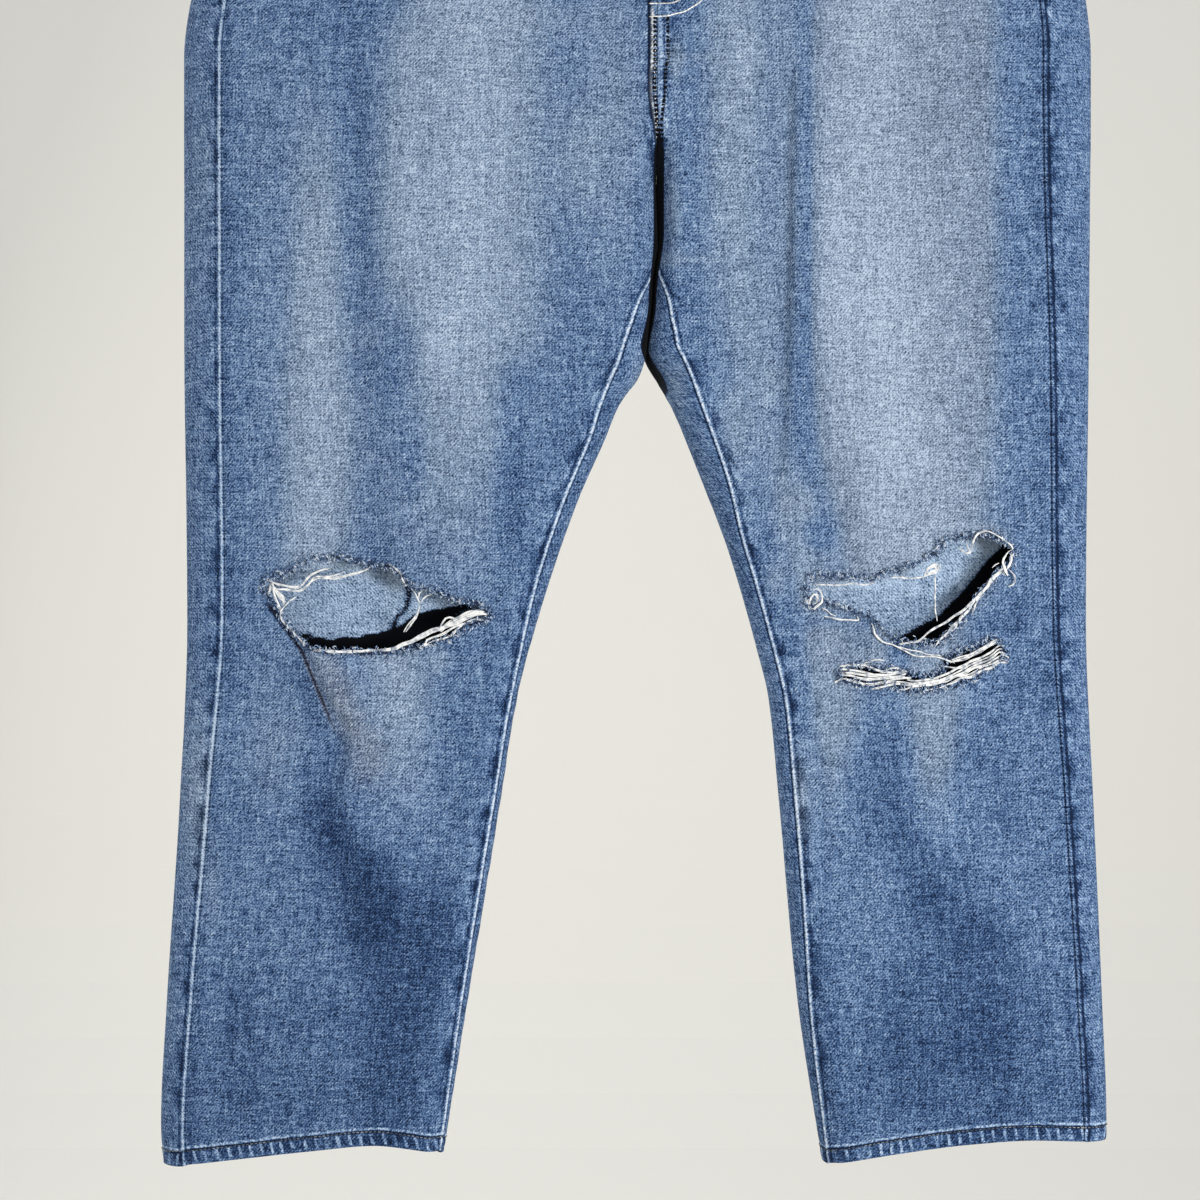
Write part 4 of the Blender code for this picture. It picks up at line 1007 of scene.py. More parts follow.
# Outlines (across, drop) of the openings, from the inner tip along the upper edge and back below.
rips = {
    "rightKnee": {"side": -1, "seed": 3, "outline": (
        (116, 590), (133, 584.8), (150, 578.7), (167, 573.2), (173.5, 567.5), (184, 560), (193, 561.7),
        (200.5, 559), (219, 555), (239, 557.6), (250, 563.7), (263, 569), (268.6, 575), (266.5, 580),
        (261, 585), (258.4, 590), (256.8, 595), (254, 600), (247.5, 607), (239.5, 614), (232, 617.4),
        (219, 618.8), (193, 620.2), (176, 619.4), (162, 616.6), (146, 611.6), (137, 607.2), (129, 601),
        (117, 598))},
    "leftKnee": {"side": 1, "seed": 5, "outline": (
        (101.3, 578.7), (105.4, 568.5), (120, 567.8), (132, 568.5), (147, 569.2), (156.5, 564.4),
        (168.5, 562.4), (181, 557.6), (190.5, 551.5), (193, 545.4), (205.5, 541.3), (215, 540.6),
        (229, 540.6), (239.5, 546.7), (242.8, 551.5), (240, 560), (234, 564.4), (217, 584), (211, 595),
        (199, 606), (190.5, 613.4), (176, 613.4), (162.5, 610.6), (151.5, 599.8), (138, 592.3),
        (124, 587.5), (113, 585.5), (104, 588.9))},
    "leftShin": {"side": 1, "seed": 8, "outline": (
        (126.5, 632.5), (140, 628.6), (152, 631), (162, 630.4), (169, 633.4), (182, 635.8), (190, 633.6),
        (194, 630), (197, 624.4), (203, 620.8), (216, 616), (228, 611), (235, 614), (237.5, 621.5),
        (232, 627), (221, 633.6), (212, 638.4), (200, 642), (189, 645.6), (175, 645.6), (162, 642.6),
        (142, 641.2), (126.5, 638))},
}
tearing = {"step": 1.3, "ragged": 0.55, "smooth": 12, "wave": 6.1}


def curveThrough(p0, p1, p2, p3, steps):
    # smooth curves from each p1 towards its p2, led by the knots before and after
    t = np.linspace(0, 1, steps, endpoint=False)[:, None, None]
    curve = 0.5 * (2 * p1 + (p2 - p0) * t + (2 * p0 - 5 * p1 + 4 * p2 - p3) * t ** 2
                   + (3 * p1 - p0 - 3 * p2 + p3) * t ** 3)
    return curve.transpose(1, 0, 2).reshape(-1, p1.shape[1])


def runAlong(curve):
    return np.concatenate([[0], np.cumsum(np.linalg.norm(np.diff(curve, axis=0), axis=1))])


def pick(curve, run, wanted):
    return np.stack([np.interp(wanted, run, column) for column in curve.T], axis=1)


def ripOutline(rip):
    # points (across, drop) at even steps round a smooth closed outline, with torn yarn ends
    step, ragged = tearing["step"], tearing["ragged"]
    knots = np.array(rip["outline"], dtype=float)
    before, after, last = (np.roll(knots, k, axis=0) for k in (1, -1, -2))
    curve = curveThrough(before, knots, after, last, tearing["smooth"])
    closed = np.concatenate([curve, curve[:1]])
    run = runAlong(closed)
    wanted = np.arange(0, run[-1] - step / 2, step)
    points = pick(closed, run, wanted)
    along = np.roll(points, -1, axis=0) - np.roll(points, 1, axis=0)
    out = np.stack([along[:, 1], -along[:, 0]], axis=1)
    out /= np.linalg.norm(out, axis=1, keepdims=True)
    chance = np.random.default_rng(rip["seed"])
    tear = chance.normal(0, 1, len(points))
    tear = (tear + np.roll(tear, 1)) * 0.5 * ragged + np.sin(wanted / tearing["wave"]) * ragged * 0.5
    return points + out * tear[:, None]


def prism(name, side, flat):
    # a solid through the front wall, from points (across, drop)
    count = len(flat)
    points = [(side * a * mm, y, -d * mm) for y in (-0.08, 0.0) for a, d in flat]
    faces = [tuple(range(count)), tuple(range(2 * count - 1, count - 1, -1))]
    faces += [(i, (i + 1) % count, (i + 1) % count + count, i + count)[::-1] for i in range(count)]
    cutter = addMesh(name, points, [], faces, "raw")
    turnOut(cutter)
    return cutter


def turnOut(piece, apart=0.0):
    # welds points that are no further apart, and turns the faces of a closed mesh outwards
    build = bmesh.new()
    build.from_mesh(piece.data)
    if apart:
        bmesh.ops.remove_doubles(build, verts=build.verts, dist=apart)
    bmesh.ops.recalc_face_normals(build, faces=build.faces)
    build.to_mesh(piece.data)
    build.free()


def settle(piece):
    # applies every modifier and leaves a plain mesh
    graph = bpy.context.evaluated_depsgraph_get()
    mesh = bpy.data.meshes.new_from_object(piece.evaluated_get(graph), preserve_all_data_layers=True,
                                           depsgraph=graph)
    piece.modifiers.clear()
    old = piece.data
    piece.data = mesh
    if old.users == 0:
        bpy.data.meshes.remove(old)
    return piece


def cutOut(name, side, flat):
    panel = made["front_" + words[side]]
    cutter = prism(name + "Cutter", side, flat)
    cut = panel.modifiers.new(name, "BOOLEAN")
    cut.operation, cut.object = "DIFFERENCE", cutter
    settle(panel)
    bpy.data.objects.remove(cutter, do_unlink=True)


# The front pockets' openings: a quarter ellipse from the band to the outseam, grown by `wider`.
scoop = {"start": 112, "centre": 262, "depth": 74, "past": 300, "above": 18}


def scoopArc(wider, count=40):
    turn = np.linspace(0, pi / 2, count)
    return np.stack([scoop["centre"] - (scoop["centre"] - scoop["start"] + wider) * np.cos(turn),
                     garment["bandDepth"] + (scoop["depth"] + wider) * np.sin(turn)], axis=1)


for name, rip in rips.items():
    cutOut(name, rip["side"], ripOutline(rip))
for side in (-1, 1):
    arc = scoopArc(0)
    past, above = scoop["past"], scoop["above"]
    corners = [(past, arc[-1][1]), (past, above), (scoop["start"], above)]
    cutOut("scoop", side, np.concatenate([arc, corners]))
print("rips and pocket openings cut")


# Loose weft left across and along the tears, in bundles: how many threads, how far they spread, and
# their route (across, drop, out).
strands = {
    "radius": 0.52, "points": 2.4, "loose": 1.2, "kink": 0.16, "fray": 1.3,
    "rightKnee": (
        (3, .35, ((264.6, 570.8, .4), (259, 573.1, 1.2), (253.8, 574.3, 1.4), (247.6, 575.6, 1.2),
            (242.9, 575.4, 1), (239.9, 572.4, .8), (236.8, 568.5, .5), (233.7, 566.2, .4),
            (228.3, 563.9, .3), (222, 562.3, .3))),
        (4, .4, ((262.6, 573.5, .5), (259.2, 576.6, 1.2), (253, 577, 1.4), (246.8, 577.9, 1.3),
            (242.2, 577.8, 1), (238.3, 574.7, .8), (235.2, 571.2, .5), (231.4, 569.3, .3),
            (225.2, 569.3, .2), (219.8, 569.7, .2), (214.4, 568.5, .2), (206.8, 566.4, .3),
            (199, 563.9, .4), (195.2, 561.5, .6))),
        (2, .3, ((237.6, 573.5, .7), (233.7, 568.5, .5), (226.7, 567.7, .3), (220.6, 567.3, .3),
            (212.5, 564.3, .3))),
        (6, .8, ((262.2, 571.8, .5), (261.5, 577, 1.3), (259.9, 582.4, 1.4), (257.6, 587.8, 1),
            (256.1, 591, .5))),
        (6, .9, ((262.6, 573, .5), (260, 577, 1.2), (257, 580.5, 1.3), (254, 583.6, .9), (254.5, 588, .6))),
        (3, .5, ((265.3, 581.6, .4), (263.4, 577.8, 1.2), (263.8, 573.9, .8))),
        (3, .3, ((244.9, 581.6, .4), (249.9, 584.7, 1), (253.7, 588.6, 1.4), (256.1, 591.7, 1.6),
            (256.5, 594.7, 1.5), (254.9, 598.6, 1.4), (252.2, 602.1, 1.2), (249.1, 604, 1),
            (246, 607.6, .7), (238, 614.6, .6))),
        (3, .4, ((233, 617.6, .4), (222, 618.9, 1), (208, 619.2, 1.4), (196, 618.6, 1.5), (185, 617.9, 1.6),
            (179.6, 616.8, 1.7), (173.4, 614.1, 1.8), (165.7, 611, 2), (159.5, 607.1, 2), (152.5, 604, 2),
            (146.4, 602.5, 1.8), (141.7, 599.4, 1.6), (135.6, 596.3, 1.4), (130.9, 593.2, 1),
            (124.8, 591.3, .7), (117, 592.1, .3))),
        (3, .4, ((190, 618.8, .6), (184, 618.4, 1.4), (178.4, 617.8, 1.6), (172.2, 614.8, 1.8),
            (164.6, 611.9, 1.9), (158.3, 608.3, 1.9), (150.8, 604.8, 1.8), (143, 602.4, 1.6),
            (134, 599, 1.3), (124, 594.4, .9), (114.6, 593.2, .3))),
        (8, 1.2, ((148, 604.6, 1), (141.7, 600.6, 1.8), (135.6, 597.6, 1.8), (129.4, 594.6, 1.5),
            (123.2, 592.4, 1), (116, 593.6, .4))),
        (3, .3, ((147.9, 603.2, 2.2), (146.4, 599.4, 3), (144.1, 596.3, 3.4), (141, 595.5, 3.4),
            (137.9, 596.3, 3), (140.2, 599.4, 2.6), (143.3, 601.7, 2.2))),
        (3, .4, ((161.8, 616.4, .4), (157.9, 614.1, 1.2), (156.4, 611, 1.5), (152.5, 609.4, 1.6),
            (146.4, 607.1, 1.7), (140.2, 603.2, 1.6), (134.8, 600.9, 1.4), (129.4, 598.6, 1.1),
            (123.2, 597.1, .8), (117.4, 597.8, .3))),
        (2, .4, ((161.8, 616.6, .4), (156.4, 614.3, 1.1), (151.8, 611.7, 1.3), (144.8, 610.2, 1.4),
            (139.4, 607.1, 1.3), (134.8, 602.9, 1.1), (129.8, 599.6, .6))),
        (2, .3, ((167.2, 576.2, .4), (164.9, 578.6, .7), (163, 582.4, .7), (161.8, 586.3, .6),
            (162.6, 591.7, .3), (166.4, 597.1, 0), (170.3, 601.7, -.3), (172.6, 605.6, -.8))),
        (1, .1, ((162.6, 590, .5), (163.8, 595.2, .1), (167.4, 600.4, -.2), (171.1, 605.6, -.6))),
        (1, .1, ((158.7, 577, .4), (161.4, 578.2, .7), (162.2, 581.6, .7), (161.7, 587, .5))),
        (1, .1, ((150.6, 579.3, .4), (155.6, 580.9, .7), (158.7, 582.4, .7), (160.9, 586.5, .5))),
        (1, .2, ((184.4, 559.2, .4), (181.3, 560, 1), (177.4, 563.1, 1.3), (174.3, 565.4, 1.3),
            (173.6, 568.5, 1.2), (172, 571.6, .9), (170.5, 573.9, .4))),
    ),
    "leftKnee": (
        (3, .3, ((213.9, 552.4, .4), (214.9, 548, 1.4), (215.6, 543.4, 2), (218.5, 538.9, 2.4),
            (222.4, 537.4, 2.5), (227, 537.8, 2.4), (231.6, 540.1, 2.2), (236.3, 543.2, 2),
            (240.1, 545.5, 1.8), (242.4, 548.6, 1.4), (240.9, 550.9, .8))),
        (4, .7, ((206.5, 549, .4), (210, 552, 1), (213.5, 552.6, 1.2), (212.4, 548.6, 1),
            (211.6, 546.2, .6))),
        (5, .6, ((240.4, 550.6, .5), (237, 554.7, 1.4), (236, 558.6, 1.6), (237.8, 564, 1.5),
            (239.4, 567.1, .8))),
        (4, .6, ((241.4, 551, .5), (240.6, 557.8, 1.6), (238.4, 562.4, 1.6), (236.3, 565, 1))),
        (2, .3, ((240.1, 563, 1), (243.2, 567.1, 1.6), (244.4, 570.2, 1.9), (243.2, 573.3, 1.8),
            (239.4, 574.8, 1.2))),
        (4, .45, ((238, 561, .5), (233.5, 564.2, 1.4), (227.8, 569.4, 1.8), (223.9, 575.6, 2),
            (218.5, 581.2, 2), (213.1, 586.6, 2), (208.5, 590.8, 2), (202.3, 594.8, 2), (197.7, 598.3, 1.9),
            (192.3, 601.8, 1.8), (188.4, 603.7, 1.7), (183.8, 607.2, 1.5), (179.9, 611.1, 1.3),
            (175.3, 612.8, 1), (165.2, 614, .5))),
        (3, .4, ((237, 563.6, .5), (231.6, 567.5, 1.4), (226, 574, 1.7), (220.5, 580.8, 1.8),
            (214.6, 586.8, 1.8), (210.8, 592.8, 1.7), (206.1, 597.4, 1.6), (201.5, 602, 1.5),
            (198.4, 605.9, 1.3), (193.8, 610.5, 1), (189.9, 615.1, .5))),
        (2, .3, ((224, 577, 1), (219, 583.4, 1.2), (216.6, 589, 1.2), (215, 593.6, .6))),
        (2, .3, ((210, 592, 1), (206.9, 595.8, 1.2), (205.4, 599.7, 1.2), (203.1, 603.9, 1),
            (198.4, 605.1, .6))),
        (1, .1, ((227.8, 564.8, 1.2), (229.3, 560.9, 1.6), (233.2, 558.6, 1))),
        (1, .1, ((190, 567, .3), (190, 576.3, .5), (189.9, 585, .5), (190.3, 592.8, .6), (191.7, 601, .9))),
        (6, .9, ((182.2, 568.4, .4), (186.9, 565.5, 1.2), (191.5, 564, 1.4), (192.3, 561.7, 1.3),
            (190, 560.1, 1), (185.3, 562.5, .8), (183, 567.1, .5))),
        (3, .4, ((159.3, 568.7, .4), (166, 568.9, .7), (175, 569.2, .9), (182, 568.4, .8))),
        (3, .4, ((106.8, 573.8, .4), (113, 573.4, .8), (119.2, 573.8, .8), (127.7, 573.4, .8),
            (135.4, 573, .8), (142.3, 573.8, .7), (148.5, 571.8, .4))),
        (3, .45, ((107.2, 577, .5), (109.9, 576.1, 1.4), (111.8, 579.2, 1.8), (112.6, 583, 1.9),
            (112.2, 586.1, 1.7), (109.1, 587.6, 1.5), (107.6, 590, 1.2), (105.3, 590.7, 1),
            (103.7, 588.4, 1.2), (104.1, 583.8, 1.6), (106.4, 580.3, 1.8), (108.4, 579.9, 1.9),
            (109.1, 582.2, 1.9), (108.4, 585.3, 1.7), (106, 586.9, 1.2))),
        (2, .25, ((113, 589.6, .4), (116.8, 591.1, 1.2), (119.2, 593.8, 1.2), (122, 594.6, .5))),
        (2, .25, ((114.5, 595, .4), (117.6, 595.7, 1.1), (123.8, 596.9, 1.2), (130, 597.3, 1.2),
            (135.4, 597.7, 1.1), (137.9, 597.4, 1), (136.9, 595.2, .5))),
        (3, .3, ((145.8, 600, .4), (147.7, 603.1, 1.2), (148.5, 606.9, 1.5), (150.8, 610, 1.6),
            (154.7, 613.1, 1.7), (161, 615, 1.8), (168.6, 619.1, 1.9), (174.1, 622, 1.9), (182.2, 623, 1.8),
            (189, 622.7, 1.6), (195.8, 624.7, 1.4), (202.3, 626.7, .8))),
        (1, .1, ((163.2, 615.7, 1.6), (169.5, 617.6, 1.4), (177, 618.9, 1.3), (183.6, 621, 1.3),
            (191, 621.8, 1.2), (197.9, 624.2, 1))),
    ),
    "leftShin": (
        (1, .1, ((139.4, 628.3, .5), (143.5, 626.4, 1), (149.6, 624.9, 1), (155, 625.4, .4))),
        (3, .4, ((124.4, 629, .5), (136.7, 628.3, 1.1), (144.2, 629.7, 1.2), (150.3, 632, 1.2),
            (155, 633.1, 1.1), (161.8, 633.1, .9), (167.3, 632, .4))),
        (2, .3, ((154.4, 632.5, .6), (158.4, 630.8, 1), (162.5, 630.3, .9), (168.6, 632.7, .4))),
        (3, .4, ((124.4, 631, .5), (134.6, 631.7, 1.1), (142.8, 633.4, 1.3), (149.6, 634.4, 1.3),
            (156.4, 634.6, 1.2), (161.8, 633.9, .8), (166, 634, .4))),
        (3, .45, ((124.4, 633.1, .5), (133.3, 633.7, 1.1), (141.4, 635.1, 1.3), (149.6, 635.8, 1.3),
            (158.4, 636.6, 1.2), (165.9, 635.1, .8), (169.7, 633.7, .4))),
        (3, .4, ((124.4, 635.1, .5), (131.2, 635.3, 1.1), (137.4, 637, 1.3), (144.2, 638, 1.4),
            (151, 637.6, 1.4), (157.8, 637.1, 1.3), (164.6, 636.5, 1), (171, 636.2, .5))),
        (4, .45, ((121.7, 639.9, .4), (125.8, 637.6, 1.1), (131.2, 638.2, 1.3), (136.7, 640, 1.4),
            (142.8, 640.9, 1.4), (149.6, 640.5, 1.4), (155, 639.2, 1.4), (160.5, 637.8, 1.2),
            (167.3, 636.8, .8), (173, 637, .4))),
        (3, .4, ((152.3, 641.2, .5), (158.4, 639.7, 1.2), (165.9, 639.7, 1.3), (174.1, 640.5, 1.3),
            (182.2, 639.5, 1.3), (190.4, 638.3, 1.4), (198.6, 635.8, 1.5), (204.7, 632.7, 1.5),
            (210.8, 629.7, 1.5), (216.2, 626.7, 1.5), (223, 624.2, 1.4), (228.8, 621, 1.3),
            (232.6, 617.6, 1), (236.3, 617.4, .5))),
        (3, .35, ((170, 638.2, .5), (175.4, 639, 1.2), (182.2, 638.3, 1.3), (189, 637.1, 1.4),
            (195.2, 635.1, 1.5), (200.6, 632.5, 1.5), (205.4, 630.3, 1.5), (212.2, 626.8, 1.5),
            (219.6, 623.7, 1.4), (225.8, 620.8, 1.3), (229.5, 617.8, 1.2), (232.4, 615.5, 1),
            (235.4, 614.7, .5))),
        (3, .4, ((146.2, 644.6, .5), (153.7, 642.9, 1.1), (161.8, 640.9, 1.2), (168.6, 641.8, 1.3),
            (174.1, 641.9, 1.3), (178.8, 641.2, 1.3), (185.6, 640.2, 1.3), (193.8, 638.4, 1.4),
            (201.3, 635.9, 1.4), (207.4, 633.7, 1.4), (213.2, 629.9, 1.4), (218.3, 627.5, 1.4),
            (224.4, 625.6, 1.3), (229.8, 622.3, 1.2), (233.4, 619.6, 1), (238, 620.8, .5))),
        (3, .4, ((164.6, 644.3, .5), (168.6, 644.6, 1.1), (173.4, 642.7, 1.2), (179.5, 642.3, 1.2),
            (185.6, 641.6, 1.3), (192.4, 640, 1.3), (197.9, 637.8, 1.4), (202.6, 635.6, 1.4),
            (209.4, 633.2, 1.4), (214.9, 630.5, 1.4), (220.3, 628.7, 1.3), (225.8, 626.9, 1.2),
            (230.9, 623.7, 1.1), (235.3, 621.6, .9), (240, 623.5, .5))),
        (3, .4, ((196, 639.8, .5), (203.3, 635.9, 1.2), (209.4, 635.2, 1.3), (214.9, 633.2, 1.3),
            (219, 630.5, 1.2), (224.4, 628.4, 1.2), (230.2, 626.4, 1), (234.6, 624.4, .8),
            (240, 625.6, .4))),
        (3, .4, ((199.6, 640.2, .5), (204, 638.2, 1.1), (209.4, 636.6, 1.2), (214.9, 635.9, 1.2),
            (219, 633.1, 1.2), (223, 631.2, 1.1), (228.5, 629.7, 1), (233.9, 626.4, .8),
            (239.4, 627.4, .4))),
        (2, .35, ((179.5, 645.4, .5), (189, 644.2, 1.1), (195.8, 641.9, 1.2), (201.3, 640.3, 1.2),
            (206, 637.8, 1.2), (213.2, 636.9, 1.1), (217.6, 634.4, 1), (221.7, 631.8, .9),
            (227.1, 630.5, .8), (232.6, 628.1, .4))),
        (6, .85, ((231.9, 611, .6), (225.8, 614.8, 1.3), (218.6, 619, 1.5), (211.8, 622.2, 1.5),
            (205, 624.4, 1.3), (198.4, 626.2, .7))),
        (4, .55, ((193.3, 629.1, .5), (199.9, 629.8, 1.1), (206, 630, 1.3), (212.2, 628.3, 1.3),
            (218, 625.4, 1))),
    ),
}


def smoothRoute(route, step):
    # points at even steps along a smooth open route
    knots = np.array(route, dtype=float)
    knots = np.concatenate([2 * knots[:1] - knots[1:2], knots, 2 * knots[-1:] - knots[-2:-1]])
    curve = curveThrough(knots[:-3], knots[1:-2], knots[2:-1], knots[3:], 10)
    curve = np.concatenate([curve, knots[-2:-1]])
    run = runAlong(curve)
    return pick(curve, run, np.linspace(0, run[-1], max(int(run[-1] / step), 4)))


def layStrands(name, side, bundles, seed):
    # every thread of a bundle strays from the bundle's route, most in its middle
    chance = np.random.default_rng(seed)
    curves = bpy.data.curves.new(name, "CURVE")
    curves.dimensions, curves.bevel_depth, curves.bevel_resolution = "3D", strands["radius"] * mm, 1
    for count, spread, route in bundles:
        spread = spread * strands["loose"]
        centre = smoothRoute(route, strands["points"])
        share = np.linspace(0, 1, len(centre))
        apart = np.sin(pi * np.clip(share, 0.08, 0.92)) ** 0.5
        for _ in range(count):
            shift, phase = chance.normal(0, 0.7, 3) * spread, chance.uniform(0, 6, 3)
            waves = np.stack([np.sin(share * (4 + 5 * k) + phase[k]) for k in range(3)], axis=1)
            kinks = np.stack([np.sin(share * len(centre) * strands["points"] / pitch + phase[k])
                              for k, pitch in enumerate((1.7, 1.9, 2.3))], axis=1)
            path = centre + shift * apart[:, None] + waves * spread * 0.3 + kinks * strands["kink"]
            path[:, 2] = centre[:, 2] + np.abs(shift[2]) * 0.5 + waves[:, 2] * 0.15
            early, late = (int(v) for v in chance.uniform(0, strands["fray"], 2))
            path = path[early:len(path) - late]
            points = skins[side].onWall("front", path[:, 1], path[:, 0], path[:, 2] + 0.25) * mm
            spline = curves.splines.new("POLY")
            spline.points.add(len(points) - 1)
            spline.points.foreach_set("co", np.c_[points, np.ones(len(points))].reshape(-1))
            thick = chance.uniform(0.75, 1.25) * (1.15 if count == 1 else 0.85) * np.ones(len(points))
            thick[0] = thick[-1] = 0.35
            spline.points.foreach_set("radius", thick)
    curves.use_fill_caps = True
    loose = addObject(name, curves)
    graph = bpy.context.evaluated_depsgraph_get()
    mesh = bpy.data.meshes.new_from_object(loose.evaluated_get(graph))
    bpy.data.objects.remove(loose)
    mesh.materials.clear()
    mesh.materials.append(finish["weft"])
    mesh.shade_smooth()
    return attach(addObject(name, mesh))


for name, rip in rips.items():
    layStrands(name + "Weft", rip["side"], strands[name], rip["seed"])


# Frayed yarn ends along every torn edge, scattered by a node tree over the rip's outline.
fringe = {
    "pitch": 0.4, "radius": 0.27, "scatter": 2.0, "out": 0.6, "sides": 3, "bends": 4,
    "curl": {"Start": (-1.9, 0.2, 0.2), "Middle": (0.3, 1.8, 2.6), "End": (1.9, -0.2, -0.9)},
    "strays": ((-1, -1, -1), (1, 0.2, 1)), "turns": ((-0.7, -3.1, -0.7), (0.7, 3.1, 0.7)),
    "sizes": ((0.6, 0.5, 0.5), (1.5, 1.5, 1.4)),
}


class Tree:
    # one geometry node tree, built by hand
    def __init__(self, name, sockets):
        self.group = bpy.data.node_groups.new(name, "GeometryNodeTree")
        self.group.interface.new_socket("Geometry", in_out="INPUT", socket_type="NodeSocketGeometry")
        self.group.interface.new_socket("Geometry", in_out="OUTPUT", socket_type="NodeSocketGeometry")
        self.names = {}
        for socket, kind in sockets:
            added = self.group.interface.new_socket(socket, in_out="INPUT", socket_type=kind)
            self.names[socket] = added.identifier
        self.start = self.group.nodes.new("NodeGroupInput")
        self.end = self.group.nodes.new("NodeGroupOutput")

    def given(self, name):
        return self.start.outputs[name]

    def add(self, kind, settings=None, inputs=None, output=0):
        node = self.group.nodes.new(kind)
        for name, value in (settings or {}).items():
            setattr(node, name, value)
        for name, value in (inputs or {}).items():
            if isinstance(value, bpy.types.NodeSocket):
                self.group.links.new(value, node.inputs[name])
            else:
                node.inputs[name].default_value = value
        return node.outputs[output]

    def close(self, geometry):
        self.group.links.new(geometry, self.end.inputs[0])

    def grow(self, piece, **values):
        # runs the tree on a piece and leaves a plain mesh
        grown = piece.modifiers.new(self.group.name, "NODES")
        grown.node_group = self.group
        for name, value in values.items():
            grown[self.names[name]] = value
        return settle(piece)


def spacedPoints(tree):
    # points at even steps along the edges that the tree is given
    line = tree.add("GeometryNodeMeshToCurve", {}, {0: tree.given("Geometry")})
    spaced = tree.add("GeometryNodeResampleCurve", {"mode": "LENGTH"},
                      {0: line, "Length": tree.given("Pitch")})
    return tree.add("GeometryNodeCurveToPoints", {"mode": "EVALUATED"}, {0: spaced})


def putAt(tree, points, instance, turn, **more):
    # one instance at every point, made real
    placed = tree.add("GeometryNodeInstanceOnPoints", {},
                      {0: points, "Instance": instance, "Rotation": turn, **more})
    return tree.add("GeometryNodeRealizeInstances", {}, {0: placed})


def chanceVector(tree, low, high):
    return tree.add("FunctionNodeRandomValue", {"data_type": "FLOAT_VECTOR"},
                    {0: low, 1: high, "Seed": tree.given("Seed")})


def fringeTree():
    tree = Tree("fringe", (("Pitch", "NodeSocketFloat"), ("Radius", "NodeSocketFloat"),
                           ("Scatter", "NodeSocketFloat"), ("Out", "NodeSocketFloat"),
                           ("Seed", "NodeSocketInt"), ("Yarn", "NodeSocketMaterial")))
    spread = chanceVector(tree, *fringe["strays"])
    moved = tree.add("ShaderNodeVectorMath", {"operation": "SCALE"},
                     {0: spread, "Scale": tree.given("Scatter")})
    points = tree.add("GeometryNodeSetPosition", {}, {0: spacedPoints(tree), "Offset": moved})
    ends = {name: tuple(v * mm for v in place) for name, place in fringe["curl"].items()}
    shaft = tree.add("GeometryNodeCurveQuadraticBezier", {}, {"Resolution": fringe["bends"], **ends})
    ring = tree.add("GeometryNodeCurvePrimitiveCircle", {}, {"Resolution": fringe["sides"],
                                                             "Radius": tree.given("Radius")})
    curl = tree.add("GeometryNodeCurveToMesh", {}, {0: shaft, 1: ring, "Fill Caps": True})
    real = putAt(tree, points, curl, chanceVector(tree, *fringe["turns"]),
                 Scale=chanceVector(tree, *fringe["sizes"]))
    tree.close(tree.add("GeometryNodeSetMaterial", {}, {0: real, "Material": tree.given("Yarn")}))
    return tree


def layFringe(name, rip, tree):
    flat = ripOutline(rip)
    points = skins[rip["side"]].onWall("front", flat[:, 1], flat[:, 0], fringe["out"]) * mm
    edges = [(i, (i + 1) % len(points)) for i in range(len(points))]
    piece = addMesh(name, points, edges, [])
    tree.grow(piece, Pitch=fringe["pitch"] * mm, Radius=fringe["radius"] * mm,
              Scatter=fringe["scatter"] * mm, Seed=rip["seed"], Yarn=finish["frayed"])
    attach(piece)


frayer = fringeTree()
for name, rip in rips.items():
    layFringe(name + "Fringe", rip, frayer)


hidden = 20.0  # as far from any worn edge as the cloth inside the fly and pockets is taken to be


def plainMaps(x, drop, edge, fade):
    # one worn edge all round, with the groove and the hem far away
    return {"weave": (x, drop), "sides": (edge, 100.0), "ends": (600.0, fade * 1000)}


def acrossCentre(wall, drop, x, out):
    # points by x on either half
    drop, x, out = np.broadcast_arrays(*(np.asarray(v, dtype=float) for v in (drop, x, out)))
    return np.where((x < 0)[..., None], skins[-1].onWall(wall, drop, -x, out),
                    skins[1].onWall(wall, drop, x, out))


band = {
    "rows": (0, 0.3, 1, 2.4, 5, 9, 14, 19, 24, 29, 33, 35.6, 37, 37.7, 38), "step": 3.0, "edge": 1.6,
    "softness": 0.9, "reach": 38, "begin": 36, "tucked": 6, "right": 170, "side": 190,
    "left": (165, -3), "fade": 0.46, "sideColumns": 94, "pucker": 0.22, "level": 19.0,
}


def bandPoints(drop, out):
    # a strip right round from its tucked end, on the right front, to the button end
    g, b = garment, band
    drop = np.asarray(drop, dtype=float)[:, None]
    across = np.arange(-b["reach"], b["right"] + 1, b["step"])[None, :]
    tuck = -(g["bandWall"] + g["gap"]) * ease((b["begin"] - across) / (b["begin"] - b["tucked"]))
    parts = [skins[-1].onWall("front", drop, across, out + tuck)]
    for side in (-1, 1):
        skin = skins[side]
        start = skin.seam(skin.along("front", np.full(len(skin.drops), b["side"])), drop)
        end = skin.seam(skin.backEnd, drop)
        share = np.linspace(0, 1, b["sideColumns"])
        part = skin.at(drop, start + (end - start) * share, out)
        parts.append(part if side < 0 else part[:, ::-1][:, 1:])
    left = np.arange(b["left"][0], b["left"][1] - 1, -b["step"])[None, :]
    parts.append(skins[1].onWall("front", drop, left, out))
    return np.concatenate(parts, axis=1)


